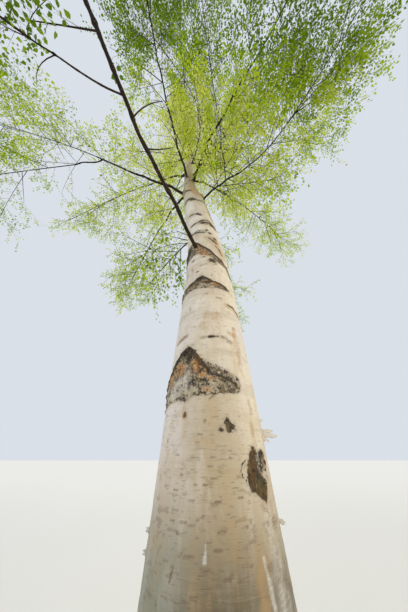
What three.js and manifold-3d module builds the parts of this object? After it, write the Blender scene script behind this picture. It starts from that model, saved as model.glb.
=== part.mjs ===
// A silver birch in early spring, 13 m tall: a leaning trunk, slim dark boughs and airy masses of young
// leaves. Millimetres, +Z up. The foot of the trunk stands on the ground at the origin. The front of the
// tree faces -Y, and a compass angle of 0 points to +X, of 90 to the back and of -90 to the front.
import * as THREE from "three";
import { mergeVertices } from "three/addons/utils/BufferGeometryUtils.js";
import Module from "manifold-3d";

const wasm = await Module();
wasm.setup();

// Driving dimensions of the trunk: at each station a height, its centre's X and Y, and a diameter.
const trunkStations = [
  [0, 0, 0, 262],
  [670, 0, 0, 246],
  [1030, 0, 0, 240],
  [1500, 0, 0, 215],
  [1850, -20, 0, 202],
  [2600, -105, 25, 198],
  [3400, -200, 65, 152],
  [4500, -270, 105, 142],
  [5700, -350, 155, 134],
  [7400, -450, 260, 110],
  [9200, -560, 370, 80],
  [11000, -665, 470, 48],
  [12400, -745, 545, 22],
];
const trunkSides = 16;
const trunkRings = 26;
const firstRingShare = 0.25; // rings stand closer at the foot, where the flare bends fastest
const rootFlare = { spread: 62, fade: 210, roots: 5, depth: 0.35, turn: 0.6 };

// Touching solids keep this far apart.
const clearance = 0.3;

// The boughs that leave the trunk: height on the trunk, then compass angle and rise at base and tip.
// A bough's mass goes on the way its tip points, unless massHeading gives another compass angle and rise.
const boughRadius = [15, 8];
const trunkBoughs = [
  {
    name: "low_front_bough",
    height: 1600,
    compass: [-124, -114],
    rise: [27, 43],
    length: 1640,
    radius: [12, 9],
  },
  {
    name: "right_bough",
    height: 2640,
    compass: [-13, -13],
    rise: [60, 51],
    length: 1270,
    massHeading: [-46, 30],
  },
  { name: "back_bough", height: 2820, compass: [84, 76], rise: [46, 14], length: 1550 },
  { name: "left_bough", height: 2960, compass: [187, 192], rise: [40, 29], length: 1620 },
  { name: "back_left_bough", height: 3240, compass: [133, 126], rise: [50, 16], length: 1500 },
  { name: "front_bough", height: 3520, compass: [-121, -101], rise: [60, 36], length: 2150 },
  {
    name: "front_right_bough",
    height: 3330,
    compass: [-62, -46],
    rise: [50, 22],
    length: 1700,
    massHeading: [-66, 2],
  },
  { name: "back_right_bough", height: 3980, compass: [28, 36], rise: [52, 26], length: 1650 },
  { name: "left_back_bough", height: 4360, compass: [166, 160], rise: [34, 20], length: 1350 },
  { name: "high_front_bough", height: 5020, compass: [-48, -138], rise: [62, 50], length: 2300 },
];
// The side boughs leave another bough this share of the way along it.
const sideBoughs = [
  {
    name: "low_left_bough",
    parent: "low_front_bough",
    at: 0.5,
    compass: [197, 208],
    rise: [20, 19],
    length: 450,
    radius: [7, 6],
    massLength: 950,
    massHeading: [208, 10],
  },
  {
    name: "right_upright_bough",
    parent: "right_bough",
    at: 0.51,
    compass: [-94, -101],
    rise: [70, 62],
    length: 1750,
    radius: [9, 7],
  },
  {
    name: "left_outer_bough",
    parent: "left_bough",
    at: 0.93,
    compass: [168, 176],
    rise: [10, -4],
    length: 420,
    radius: [8, 7],
  },
];
// Higher up the boughs climb the trunk in a spiral, and grow shorter, steeper and thinner towards the top.
const spiral = {
  count: 9,
  heights: [5300, 10500],
  firstCompass: 128,
  lengths: [1750, 650],
  rises: [58, 68],
  archOver: 30,
  baseRadius: [13, 8],
  tipRadius: [8, 6],
};
const goldenAngle = 137.5;
const boughSides = 6;
const boughSteps = 6;

// A mass of foliage fills a long egg of space that starts at its stem's foot.
const massShape = { lengths: [2350, 1500], slimness: 0.58, droop: 14, heights: [3000, 11500] };
// The masses whose stem leaves the trunk itself climb it in a second spiral.
const innerMasses = {
  count: 8,
  heights: [3900, 11650],
  firstCompass: 320,
  rises: [42, 64],
  length: [2150, 1450],
};
const lowTwig = {
  name: "low_twig_foliage",
  height: 2010,
  compass: 140,
  rise: 30,
  length: 620,
  slimness: 0.42,
  droop: 40,
};
const topMass = { name: "top_foliage", rise: 84, compass: 150, length: 1000, slimness: 0.34, droop: 0 };

// The rule by which each mass grows its twigs. Shares run along the stem or the twig.
const twigRule = {
  stemSteps: 4,
  stemReach: 0.78,
  stemLead: 0.35,
  stemRadius: [8, 6],
  sideTwigs: 5,
  firstAt: 0.2,
  lastAt: 0.93,
  tangentSpan: 0.05,
  lean: [44, 62],
  turnJitter: 40,
  fill: [0.4, 0.54],
  longest: 1400,
  radius: [7, 6],
  leafAt: [0.5, 0.9],
  leafTurn: [1, 0.2],
  lastLeafAt: 0.985,
};
// Each leaf stands for a spray of small ones, so it is larger than life. Hang is how far it droops.
const leafSize = {
  length: 620,
  width: 380,
  thickness: 9,
  widestAt: 0.36,
  splay: 50,
  hang: [0.21, 0.49],
  roll: 2.4,
};
const fullSizeGirth = 1150; // a mass slimmer than this has smaller leaves
const shortestTwig = 1 / 3; // of a leaf's length
const rootShare = 1 / 3; // of a leaf's width: nearer to its root a leaf is on its twig
const firstSeed = 19;
const limbMargin = 26; // between a limb and any twig or leaf
const neighbourMargin = 0.04; // in units of space value, between two masses
const probeStep = 20; // of the walk that finds where a twig leaves its space
const trunkLinePoints = 40;

const barkWhite = new THREE.MeshStandardMaterial({ color: "#d8cdbf", roughness: 0.75, metalness: 0 });
const barkDark = new THREE.MeshStandardMaterial({ color: "#3f3029", roughness: 0.8, metalness: 0 });
const leafGreen = new THREE.MeshStandardMaterial({ color: "#8fae1e", roughness: 0.55, metalness: 0 });

const up = new THREE.Vector3(0, 0, 1);
const oddDirection = new THREE.Vector3(0.37, 0.61, 0.7); // no limb sets off this way
const mix = THREE.MathUtils.lerp;
const radians = THREE.MathUtils.degToRad;

// Every number is drawn from a small seeded generator, so the tree is the same each time.
function seededRandom(seed) {
  let state = seed;
  return () => {
    state = (state + 0x6d2b79f5) | 0;
    let drawn = Math.imul(state ^ (state >>> 15), state | 1);
    drawn ^= drawn + Math.imul(drawn ^ (drawn >>> 7), drawn | 61);
    return ((drawn ^ (drawn >>> 14)) >>> 0) / 2 ** 32;
  };
}

// A direction from a compass angle and a rise, both in degrees.
function heading(compass, rise) {
  const flat = Math.cos(radians(rise));
  return new THREE.Vector3(
    flat * Math.cos(radians(compass)),
    flat * Math.sin(radians(compass)),
    Math.sin(radians(rise)),
  );
}

// A smooth curve through one column of the trunk's stations, read at a height.
function trunkValue(height, column) {
  const last = trunkStations.length - 1;
  let below = 0;
  while (below < last - 1 && trunkStations[below + 1][0] <= height) {
    below += 1;
  }
  const slopeAt = (i) => {
    const lower = trunkStations[Math.max(i - 1, 0)];
    const upper = trunkStations[Math.min(i + 1, last)];
    return (upper[column] - lower[column]) / (upper[0] - lower[0]);
  };
  const from = trunkStations[below];
  const to = trunkStations[below + 1];
  const span = to[0] - from[0];
  const t = (height - from[0]) / span;
  const startShare = (1 + 2 * t) * (1 - t) ** 2;
  const endShare = t * t * (3 - 2 * t);
  const bend = span * (t * (1 - t) ** 2 * slopeAt(below) - t * t * (1 - t) * slopeAt(below + 1));
  return from[column] * startShare + to[column] * endShare + bend;
}

function trunkCentre(height) {
  return new THREE.Vector3(trunkValue(height, 1), trunkValue(height, 2), height);
}

function trunkRadius(height, angle) {
  const lobes = 1 + rootFlare.depth * Math.cos(rootFlare.roots * angle + rootFlare.turn);
  return trunkValue(height, 3) / 2 + rootFlare.spread * lobes * Math.exp(-height / rootFlare.fade);
}

const trunkHeight = trunkStations.at(-1)[0];

// A closed trunk of level rings, grown outwards by a margin where it serves as a cutter.
function trunkGeometry(margin) {
  const geometry = new THREE.CylinderGeometry(1, 1, 1, trunkSides, trunkRings);
  const position = geometry.attributes.position;
  for (let i = 0; i < position.count; i += 1) {
    const share = position.getY(i) + 0.5;
    const height = trunkHeight * (firstRingShare * share + (1 - firstRingShare) * share * share);
    const angle = Math.atan2(-position.getZ(i), position.getX(i));
    const outward = Math.hypot(position.getX(i), position.getZ(i));
    const radius = outward * (trunkRadius(height, angle) + margin);
    const centre = trunkCentre(height);
    position.setXYZ(i, centre.x + radius * Math.cos(angle), centre.y + radius * Math.sin(angle), height);
  }
  return geometry;
}

// A closed tapering limb whose rings follow a row of points without twisting. Its foot can face a given way.
function limbGeometry(points, radii, sides, lead) {
  const geometry = new THREE.CylinderGeometry(1, 1, 1, sides, points.length - 1);
  const tangents = points.map((point, i) => {
    const before = points[Math.max(i - 1, 0)];
    const after = points[Math.min(i + 1, points.length - 1)];
    return after.clone().sub(before).normalize();
  });
  if (lead) {
    tangents[0] = lead;
  }
  let across = oddDirection.clone().cross(tangents[0]).normalize();
  const frames = tangents.map((tangent) => {
    across = across.clone().addScaledVector(tangent, -across.dot(tangent)).normalize();
    return [across, across.clone().cross(tangent)];
  });
  const position = geometry.attributes.position;
  for (let i = 0; i < position.count; i += 1) {
    const ring = Math.round((position.getY(i) + 0.5) * (points.length - 1));
    const [side, front] = frames[ring];
    const place = points[ring].clone();
    place.addScaledVector(side, position.getX(i) * radii[ring]);
    place.addScaledVector(front, position.getZ(i) * radii[ring]);
    position.setXYZ(i, place.x, place.y, place.z);
  }
  return geometry;
}

function solidOf(geometry) {
  const bare = new THREE.BufferGeometry();
  bare.setAttribute("position", geometry.attributes.position);
  bare.setIndex(geometry.index);
  const merged = mergeVertices(bare);
  return new wasm.Manifold(
    new wasm.Mesh({
      numProp: 3,
      vertProperties: merged.attributes.position.array,
      triVerts: new Uint32Array(merged.index.array),
    }),
  );
}

// The largest body of a solid as a geometry, so that a loose scrap or a sealed hollow drops out.
function geometryOf(solid) {
  const largest = solid.decompose().reduce((a, b) => (b.volume() > a.volume() ? b : a));
  const mesh = largest.getMesh();
  const geometry = new THREE.BufferGeometry();
  geometry.setAttribute("position", new THREE.BufferAttribute(mesh.vertProperties, 3));
  geometry.setIndex(new THREE.BufferAttribute(mesh.triVerts, 1));
  const flat = geometry.toNonIndexed();
  flat.computeVertexNormals();
  return flat;
}

// A bough's path, which turns and levels out evenly from its base to its tip.
function boughPath(start, { compass, rise, length }) {
  const points = [start.clone()];
  for (let i = 0; i < boughSteps; i += 1) {
    const t = (i + 0.5) / boughSteps;
    const direction = heading(mix(...compass, t), mix(...rise, t));
    points.push(points[i].clone().addScaledVector(direction, length / boughSteps));
  }
  return points;
}

function pointAlong(points, share) {
  const step = share * (points.length - 1);
  const before = Math.min(Math.floor(step), points.length - 2);
  return points[before].clone().lerp(points[before + 1], step - before);
}

function makeBough(bough, start) {
  const points = boughPath(start, bough);
  const radii = points.map((point, i) => mix(...(bough.radius ?? boughRadius), i / boughSteps));
  return { ...bough, points, radii };
}

function spiralBoughs() {
  return Array.from({ length: spiral.count }, (_, i) => {
    const t = i / (spiral.count - 1);
    const compass = spiral.firstCompass + i * goldenAngle;
    const rise = mix(...spiral.rises, t);
    return {
      name: "spiral_bough_" + (i + 1),
      height: mix(...spiral.heights, t),
      compass: [compass, compass],
      rise: [rise, rise - spiral.archOver],
      length: mix(...spiral.lengths, t),
      radius: [mix(...spiral.baseRadius, t), mix(...spiral.tipRadius, t)],
    };
  });
}

const boughs = [...trunkBoughs, ...spiralBoughs()].map((bough) =>
  makeBough(bough, trunkCentre(bough.height)),
);
for (const side of sideBoughs) {
  const parent = boughs.find((bough) => bough.name === side.parent);
  boughs.push(makeBough(side, pointAlong(parent.points, side.at)));
}

const trunkPoints = Array.from({ length: trunkLinePoints }, (_, i) =>
  trunkCentre((trunkHeight * i) / (trunkLinePoints - 1)),
);
const trunkLine = { points: trunkPoints, radii: trunkPoints.map((point) => trunkValue(point.z, 3) / 2) };
const limbs = [trunkLine, ...boughs];

function massLengthAt(height) {
  const [low, high] = massShape.heights;
  return mix(...massShape.lengths, THREE.MathUtils.clamp((height - low) / (high - low), 0, 1));
}

// A mass has its stem's foot, the way that foot points, and the axis, length and girth of its egg of space.
function boughMass(bough) {
  const tip = bough.points.at(-1);
  const lead = tip.clone().sub(bough.points.at(-2)).normalize();
  const length = bough.massLength ?? massLengthAt(tip.z);
  const [compass, rise] = bough.massHeading ?? [bough.compass[1], bough.rise[1] - massShape.droop];
  return {
    name: bough.name.replace("bough", "foliage"),
    foot: tip.clone().addScaledVector(lead, clearance),
    lead,
    axis: heading(compass, rise),
    length,
    girth: length * massShape.slimness,
  };
}

function trunkMass({ name, height, compass, rise, length, slimness, droop }) {
  return {
    name,
    foot: trunkCentre(height),
    lead: heading(compass, rise),
    axis: heading(compass, rise - droop),
    length,
    girth: length * slimness,
    onTrunk: true,
  };
}

function allMasses() {
  const inner = Array.from({ length: innerMasses.count }, (_, i) => {
    const t = i / (innerMasses.count - 1);
    return trunkMass({
      name: "inner_foliage_" + (i + 1),
      height: mix(...innerMasses.heights, t),
      compass: innerMasses.firstCompass + i * goldenAngle,
      rise: mix(...innerMasses.rises, t),
      length: mix(...innerMasses.length, t),
      slimness: massShape.slimness,
      droop: massShape.droop,
    });
  });
  const top = trunkMass({ ...topMass, height: trunkHeight + clearance });
  return [...boughs.map(boughMass), ...inner, trunkMass(lowTwig), top];
}

const masses = allMasses();

// Below 1 inside a mass's egg of space, 1 on its skin.
function spaceValue(mass, point) {
  const half = mass.length / 2;
  const offset = point.clone().sub(mass.foot).addScaledVector(mass.axis, -half);
  const along = offset.dot(mass.axis);
  const across = offset.addScaledVector(mass.axis, -along).length();
  return (along / half) ** 2 + (across / mass.girth) ** 2;
}

// How far a straight twig can run before it leaves the mass's space.
function reachInSpace(mass, start, direction) {
  const probe = start.clone().addScaledVector(direction, probeStep);
  let reach = 0;
  while (reach < twigRule.longest && spaceValue(mass, probe) < 1) {
    probe.addScaledVector(direction, probeStep);
    reach += probeStep;
  }
  return reach;
}

function belongsTo(mass, point) {
  const own = spaceValue(mass, point);
  const rival = (other) => other !== mass && spaceValue(other, point) < own + neighbourMargin;
  return own < 1 && !masses.some(rival);
}

function clearOfLimbs(point) {
  const nearest = new THREE.Vector3();
  return limbs.every((limb) =>
    limb.points.slice(1).every((end, i) => {
      new THREE.Line3(limb.points[i], end).closestPointToPoint(point, true, nearest);
      return nearest.distanceTo(point) > limb.radii[i] + limbMargin;
    }),
  );
}

function fits(mass, points) {
  return points.every((point) => belongsTo(mass, point) && clearOfLimbs(point));
}

// The stem sets off as its foot points and bends over towards the far end of the space.
function stemPoints(mass) {
  const knee = mass.foot.clone().addScaledVector(mass.lead, mass.length * twigRule.stemLead);
  const end = mass.foot.clone().addScaledVector(mass.axis, mass.length * twigRule.stemReach);
  return new THREE.QuadraticBezierCurve3(mass.foot, knee, end).getPoints(twigRule.stemSteps);
}

// The side twigs of one mass: where each leaves the stem, its direction and its length.
function sideTwigs(mass, stem, random) {
  const twigs = [];
  for (let i = 0; i < twigRule.sideTwigs; i += 1) {
    const share = mix(twigRule.firstAt, twigRule.lastAt, (i + 0.5) / twigRule.sideTwigs);
    const start = pointAlong(stem, share);
    const ahead = pointAlong(stem, Math.min(share + twigRule.tangentSpan, 1));
    const forward = ahead.sub(pointAlong(stem, share - twigRule.tangentSpan)).normalize();
    const turn = radians(i * goldenAngle + twigRule.turnJitter * (random() - 0.5));
    const lean = radians(mix(...twigRule.lean, random()));
    const level = up.clone().cross(forward).normalize();
    const rising = forward.clone().cross(level);
    const direction = forward.clone().multiplyScalar(Math.cos(lean));
    direction.addScaledVector(level, Math.sin(lean) * Math.cos(turn));
    direction.addScaledVector(rising, Math.sin(lean) * Math.sin(turn));
    const length = reachInSpace(mass, start, direction) * mix(...twigRule.fill, random());
    twigs.push({ start, direction, length });
  }
  return twigs;
}

// A thin diamond blade, widest near its root, whose root lies at the middle of the twig.
function leafGeometry(root, direction, roll, scale) {
  const { length, width, thickness, widestAt } = leafSize;
  const level = up.clone().cross(direction).normalize();
  const face = direction.clone().cross(level);
  const side = level.clone().multiplyScalar(Math.cos(roll)).addScaledVector(face, Math.sin(roll));
  const normal = direction.clone().cross(side);
  const geometry = new THREE.OctahedronGeometry(0.5);
  const position = geometry.attributes.position;
  for (let i = 0; i < position.count; i += 1) {
    const x = position.getX(i);
    position.setX(i, Math.abs(x) < 0.1 ? widestAt : x + 0.5);
  }
  geometry.scale(length * scale, width * scale, thickness * scale);
  geometry.applyMatrix4(new THREE.Matrix4().makeBasis(direction, side, normal));
  geometry.translate(root.x, root.y, root.z);
  return geometry;
}

function cornersOf(geometry) {
  const corners = [];
  const position = geometry.attributes.position;
  for (let i = 0; i < position.count; i += 1) {
    corners.push(new THREE.Vector3().fromBufferAttribute(position, i));
  }
  return corners;
}

function leafDirection(twigDirection, sideways, random) {
  const level = up.clone().cross(twigDirection).normalize();
  const splay = radians(leafSize.splay * sideways);
  const direction = twigDirection.clone().multiplyScalar(Math.cos(splay));
  direction.addScaledVector(level, Math.sin(splay));
  direction.z -= mix(...leafSize.hang, random());
  return direction.normalize();
}

// One mass: a stem, its side twigs and the leaves on them, fused to one solid.
function massGeometry(mass, index) {
  const random = seededRandom(firstSeed + index);
  const leafScale = Math.min(mass.girth / fullSizeGirth, 1);
  const stem = stemPoints(mass);
  const stemRadii = stem.map((point, i) => mix(...twigRule.stemRadius, i / twigRule.stemSteps));
  let solid = solidOf(limbGeometry(stem, stemRadii, 3, mass.lead));
  const addLeaf = (root, direction, turn) => {
    const leaf = leafGeometry(root, direction, leafSize.roll * (turn - 0.5), leafScale);
    const rootReach = rootShare * leafScale * leafSize.width;
    if (fits(mass, cornersOf(leaf).filter((corner) => corner.distanceTo(root) > rootReach))) {
      solid = solid.add(solidOf(leaf));
    }
  };
  for (const { start, direction, length } of sideTwigs(mass, stem, random)) {
    const turns = [random(), random()];
    const hand = random() < 0.5 ? -1 : 1;
    const leafDirections = twigRule.leafTurn.map((turn) => leafDirection(direction, turn * hand, random));
    const [middle, end] = [0.5, 1].map((share) => start.clone().addScaledVector(direction, length * share));
    if (length < shortestTwig * leafScale * leafSize.length || !fits(mass, [middle, end])) {
      continue;
    }
    solid = solid.add(solidOf(limbGeometry([start, end], twigRule.radius, 3)));
    twigRule.leafAt.forEach((share, i) => {
      addLeaf(start.clone().lerp(end, share), leafDirections[i], turns[i]);
    });
  }
  const stemEnd = stem.at(-1).clone().sub(stem.at(-2)).normalize();
  addLeaf(pointAlong(stem, twigRule.lastLeafAt), leafDirection(stemEnd, 0, random), random());
  return geometryOf(mass.onTrunk ? solid.subtract(trunkCutter) : solid);
}

const trunkCutter = solidOf(trunkGeometry(clearance));

function boughGeometry(bough) {
  const limb = solidOf(limbGeometry(bough.points, bough.radii, boughSides));
  if (!bough.parent) {
    return geometryOf(limb.subtract(trunkCutter));
  }
  const parent = boughs.find((other) => other.name === bough.parent);
  const grown = parent.radii.map((radius) => radius + clearance);
  return geometryOf(limb.subtract(solidOf(limbGeometry(parent.points, grown, boughSides))));
}

const tree = new THREE.Group();

function addPiece(name, geometry, material) {
  const piece = new THREE.Mesh(geometry, material);
  piece.name = name;
  tree.add(piece);
}

addPiece("trunk", trunkGeometry(0), barkWhite);
for (const bough of boughs) {
  addPiece(bough.name, boughGeometry(bough), barkDark);
}
masses.forEach((mass, index) => addPiece(mass.name, massGeometry(mass, index), leafGreen));

export default tree;
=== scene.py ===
import math
import time

import bpy
import numpy as np
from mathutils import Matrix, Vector


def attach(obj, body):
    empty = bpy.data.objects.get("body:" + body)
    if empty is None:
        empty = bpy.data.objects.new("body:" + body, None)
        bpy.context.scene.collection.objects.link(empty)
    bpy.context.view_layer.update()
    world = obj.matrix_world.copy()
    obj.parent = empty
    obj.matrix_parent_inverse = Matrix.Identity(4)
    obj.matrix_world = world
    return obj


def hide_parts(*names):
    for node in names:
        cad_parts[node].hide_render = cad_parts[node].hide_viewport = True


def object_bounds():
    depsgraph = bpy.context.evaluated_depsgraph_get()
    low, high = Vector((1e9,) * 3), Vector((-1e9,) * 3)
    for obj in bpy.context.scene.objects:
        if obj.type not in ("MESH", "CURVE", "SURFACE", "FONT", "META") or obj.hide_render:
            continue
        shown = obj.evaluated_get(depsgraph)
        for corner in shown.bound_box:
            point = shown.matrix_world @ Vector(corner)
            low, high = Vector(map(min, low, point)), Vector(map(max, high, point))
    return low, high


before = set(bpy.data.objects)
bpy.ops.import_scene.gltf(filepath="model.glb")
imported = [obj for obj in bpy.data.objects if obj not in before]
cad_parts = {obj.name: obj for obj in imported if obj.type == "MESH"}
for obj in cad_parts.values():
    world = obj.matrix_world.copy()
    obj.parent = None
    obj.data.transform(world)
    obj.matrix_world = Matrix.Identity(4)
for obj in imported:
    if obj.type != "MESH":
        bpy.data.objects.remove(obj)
cadLow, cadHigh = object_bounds()
startTime = time.time()


def report(stage):
    print(f"{stage}: {time.time() - startTime:.1f} s")


# The camera: half a metre from the trunk, looking steeply up
camera = {"place": (-0.02, -0.535, 0.85), "pitch": 42, "lens": 10, "sensor": 36, "clip": (0.01, 400)}
cameraPlace = np.array(camera["place"])

cameraData = bpy.data.cameras.new("camera")
cameraData.lens = camera["lens"]
cameraData.sensor_width = camera["sensor"]
cameraData.clip_start, cameraData.clip_end = camera["clip"]
cameraObject = bpy.data.objects.new("camera", cameraData)
cameraObject.location = camera["place"]
cameraObject.rotation_euler = (math.radians(90 + camera["pitch"]), 0, 0)
bpy.context.scene.collection.objects.link(cameraObject)
bpy.context.scene.camera = cameraObject


# Small helpers
def linearColour(hexColour):
    channels = [int(hexColour[i:i + 2], 16) / 255 for i in (1, 3, 5)]
    return [c / 12.92 if c <= 0.04045 else ((c + 0.055) / 1.055) ** 2.4 for c in channels] + [1.0]


def mix(a, b, t):
    return a + (b - a) * t


def smooth(low, high, value):
    t = np.clip((value - low) / (high - low), 0, 1)
    return t * t * (3 - 2 * t)


def unit(vectors):
    return vectors / np.maximum(np.linalg.norm(vectors, axis=-1, keepdims=True), 1e-9)


cellPrimes = np.array([73856093, 19349663, 83492791])  # they scatter the cells of a lattice


# Smooth noise from 0 to 1 on a lattice of hashed values, one value for each row of points.
def noise(points, seed):
    cell = np.floor(points).astype(np.int64)
    part = points - cell
    part = part * part * (3 - 2 * part)
    total = np.zeros(len(points))
    for corner in range(8):
        offset = np.array([corner & 1, corner >> 1 & 1, corner >> 2 & 1])
        mixed = (cell + offset) @ cellPrimes + seed * 2654435
        mixed = (mixed ^ (mixed >> 13)) * 1274126177 & 0xFFFFFFFF
        mixed = (mixed ^ (mixed >> 16)) * 2246822519 & 0xFFFFFFFF
        weight = np.prod(np.where(offset == 1, part, 1 - part), axis=1)
        total += weight * ((mixed ^ (mixed >> 15)) & 0xFFFF) / 0xFFFF
    return total


def roughNoise(points, seed, octaves=3):
    layers = [noise(points * 2.03 ** i, seed + i) * 0.5 ** i for i in range(octaves)]
    return sum(layers) / sum(0.5 ** i for i in range(octaves))


# The rule by which the frame's solids grow, the same numbers in metres
trunkStations = np.array([
    [0, 0, 0, 0.262],
    [0.670, 0, 0, 0.246],
    [1.030, 0, 0, 0.240],
    [1.500, 0, 0, 0.215],
    [1.850, -0.020, 0, 0.202],
    [2.600, -0.105, 0.025, 0.198],
    [3.400, -0.200, 0.065, 0.152],
    [4.500, -0.270, 0.105, 0.142],
    [5.700, -0.350, 0.155, 0.134],
    [7.400, -0.450, 0.260, 0.110],
    [9.200, -0.560, 0.370, 0.080],
    [11.000, -0.665, 0.470, 0.048],
    [12.400, -0.745, 0.545, 0.022],
])  # height, centre's X and Y, diameter
rootFlare = {"spread": 0.062, "fade": 0.210, "roots": 5, "depth": 0.35, "turn": 0.6}
clearance = 0.0003
boughRadius = (0.015, 0.008)
# height on the trunk, compass angle and rise at base and tip, length, and for some a radius at each end
trunkBoughs = {
    "low_front_bough": (1.600, (-124, -114), (27, 43), 1.640, (0.012, 0.009)),
    "right_bough": (2.640, (-13, -13), (60, 51), 1.270),
    "back_bough": (2.820, (84, 76), (46, 14), 1.550),
    "left_bough": (2.960, (187, 192), (40, 29), 1.620),
    "back_left_bough": (3.240, (133, 126), (50, 16), 1.500),
    "front_bough": (3.520, (-121, -101), (60, 36), 2.150),
    "front_right_bough": (3.330, (-62, -46), (50, 22), 1.700),
    "back_right_bough": (3.980, (28, 36), (52, 26), 1.650),
    "left_back_bough": (4.360, (166, 160), (34, 20), 1.350),
    "high_front_bough": (5.020, (-48, -138), (62, 50), 2.300),
}
# parent, share of the way along it, compass, rise, length, radius, length of its mass
sideBoughs = {
    "low_left_bough": ("low_front_bough", 0.50, (197, 208), (20, 19), 0.450, (0.007, 0.006), 0.950),
    "right_upright_bough": ("right_bough", 0.51, (-94, -101), (70, 62), 1.750, (0.009, 0.007), None),
    "left_outer_bough": ("left_bough", 0.93, (168, 176), (10, -4), 0.420, (0.008, 0.007), None),
}
# a mass goes on the way its bough's tip points, unless it is here with another compass angle and rise
massHeadings = {"right_bough": (-46, 30), "front_right_bough": (-66, 2), "low_left_bough": (208, 10)}
spiral = {"count": 9, "heights": (5.300, 10.500), "firstCompass": 128, "lengths": (1.750, 0.650),
          "rises": (58, 68), "archOver": 30, "baseRadius": (0.013, 0.008), "tipRadius": (0.008, 0.006)}
goldenAngle = 137.5
boughSteps = 6
massShape = {"lengths": (2.350, 1.500), "slimness": 0.58, "droop": 14, "heights": (3.000, 11.500)}
innerMasses = {"count": 8, "heights": (3.900, 11.650), "firstCompass": 320, "rises": (42, 64),
               "length": (2.150, 1.450)}
lowTwig = {"height": 2.010, "compass": 140, "rise": 30, "length": 0.620, "slimness": 0.42, "droop": 40}
topMass = {"compass": 150, "rise": 84, "length": 1.000, "slimness": 0.34, "droop": 0}
twigRule = {"stemReach": 0.78, "stemLead": 0.35, "sideTwigs": 5, "firstAt": 0.2, "lastAt": 0.93,
            "tangentSpan": 0.05, "lean": (44, 62), "turnJitter": 40, "fill": (0.40, 0.54),
            "longest": 1.400, "probeStep": 0.020, "neighbourMargin": 0.04, "firstSeed": 19}


# The same small seeded generator as the frame's.
def seededRandom(seed):
    state = seed

    def draw():
        nonlocal state
        state = (state + 0x6D2B79F5) & 0xFFFFFFFF
        drawn = ((state ^ (state >> 15)) * (state | 1)) & 0xFFFFFFFF
        drawn ^= (drawn + ((drawn ^ (drawn >> 7)) * (drawn | 61))) & 0xFFFFFFFF
        return ((drawn ^ (drawn >> 14)) & 0xFFFFFFFF) / 2 ** 32

    return draw


def heading(compass, rise):
    flat = math.cos(math.radians(rise))
    turn = math.radians(compass)
    return np.array([flat * math.cos(turn), flat * math.sin(turn), math.sin(math.radians(rise))])


# A smooth curve through one column of the trunk's stations, read at heights.
def trunkValue(height, column):
    last = len(trunkStations) - 1
    heights, values = trunkStations[:, 0], trunkStations[:, column]
    lower, upper = np.maximum(np.arange(last + 1) - 1, 0), np.minimum(np.arange(last + 1) + 1, last)
    slope = (values[upper] - values[lower]) / (heights[upper] - heights[lower])
    below = np.clip(np.searchsorted(heights, height, side="right") - 1, 0, last - 1)
    span = heights[below + 1] - heights[below]
    t = (height - heights[below]) / span
    bend = span * (t * (1 - t) ** 2 * slope[below] - t * t * (1 - t) * slope[below + 1])
    return values[below] * (1 + 2 * t) * (1 - t) ** 2 + values[below + 1] * t * t * (3 - 2 * t) + bend


def trunkCentre(height):
    return np.array([trunkValue(height, 1), trunkValue(height, 2), height])


def trunkRadius(height, angle):
    lobes = 1 + rootFlare["depth"] * np.cos(rootFlare["roots"] * angle + rootFlare["turn"])
    return trunkValue(height, 3) / 2 + rootFlare["spread"] * lobes * np.exp(-height / rootFlare["fade"])


trunkHeight = trunkStations[-1, 0]


# A point a share of the way along a row of points.
def pointAlong(points, share):
    step = share * (len(points) - 1)
    before = min(int(step), len(points) - 2)
    return mix(points[before], points[before + 1], step - before)


def boughPath(start, compass, rise, length):
    points = [start]
    for i in range(boughSteps):
        t = (i + 0.5) / boughSteps
        points.append(points[-1] + heading(mix(*compass, t), mix(*rise, t)) * length / boughSteps)
    return np.array(points)


boughs = {}  # name: path, radii, compass, rise, the length of its mass, its parent
for name, (height, compass, rise, length, *radius) in trunkBoughs.items():
    radius = radius[0] if radius else boughRadius
    boughs[name] = (boughPath(trunkCentre(height), compass, rise, length), radius, compass, rise, None, None)
for i in range(spiral["count"]):
    t = i / (spiral["count"] - 1)
    compass = (spiral["firstCompass"] + i * goldenAngle,) * 2
    rise = mix(*spiral["rises"], t)
    rise = (rise, rise - spiral["archOver"])
    path = boughPath(trunkCentre(mix(*spiral["heights"], t)), compass, rise, mix(*spiral["lengths"], t))
    radius = (mix(*spiral["baseRadius"], t), mix(*spiral["tipRadius"], t))
    boughs[f"spiral_bough_{i + 1}"] = (path, radius, compass, rise, None, None)
for name, (parent, share, compass, rise, length, radius, massLength) in sideBoughs.items():
    start = pointAlong(boughs[parent][0], share)
    boughs[name] = (boughPath(start, compass, rise, length), radius, compass, rise, massLength, parent)

# A mass has its stem's foot, the way that foot points, and the axis, length and girth of its egg of space.
masses = []


def addMass(name, foot, lead, axis, length, slimness):
    masses.append({"name": name, "foot": foot, "lead": lead, "axis": axis, "length": length,
                   "girth": length * slimness})


def addTrunkMass(name, height, compass, rise, length, slimness, droop):
    axis = heading(compass, rise - droop)
    addMass(name, trunkCentre(height), heading(compass, rise), axis, length, slimness)


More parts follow.
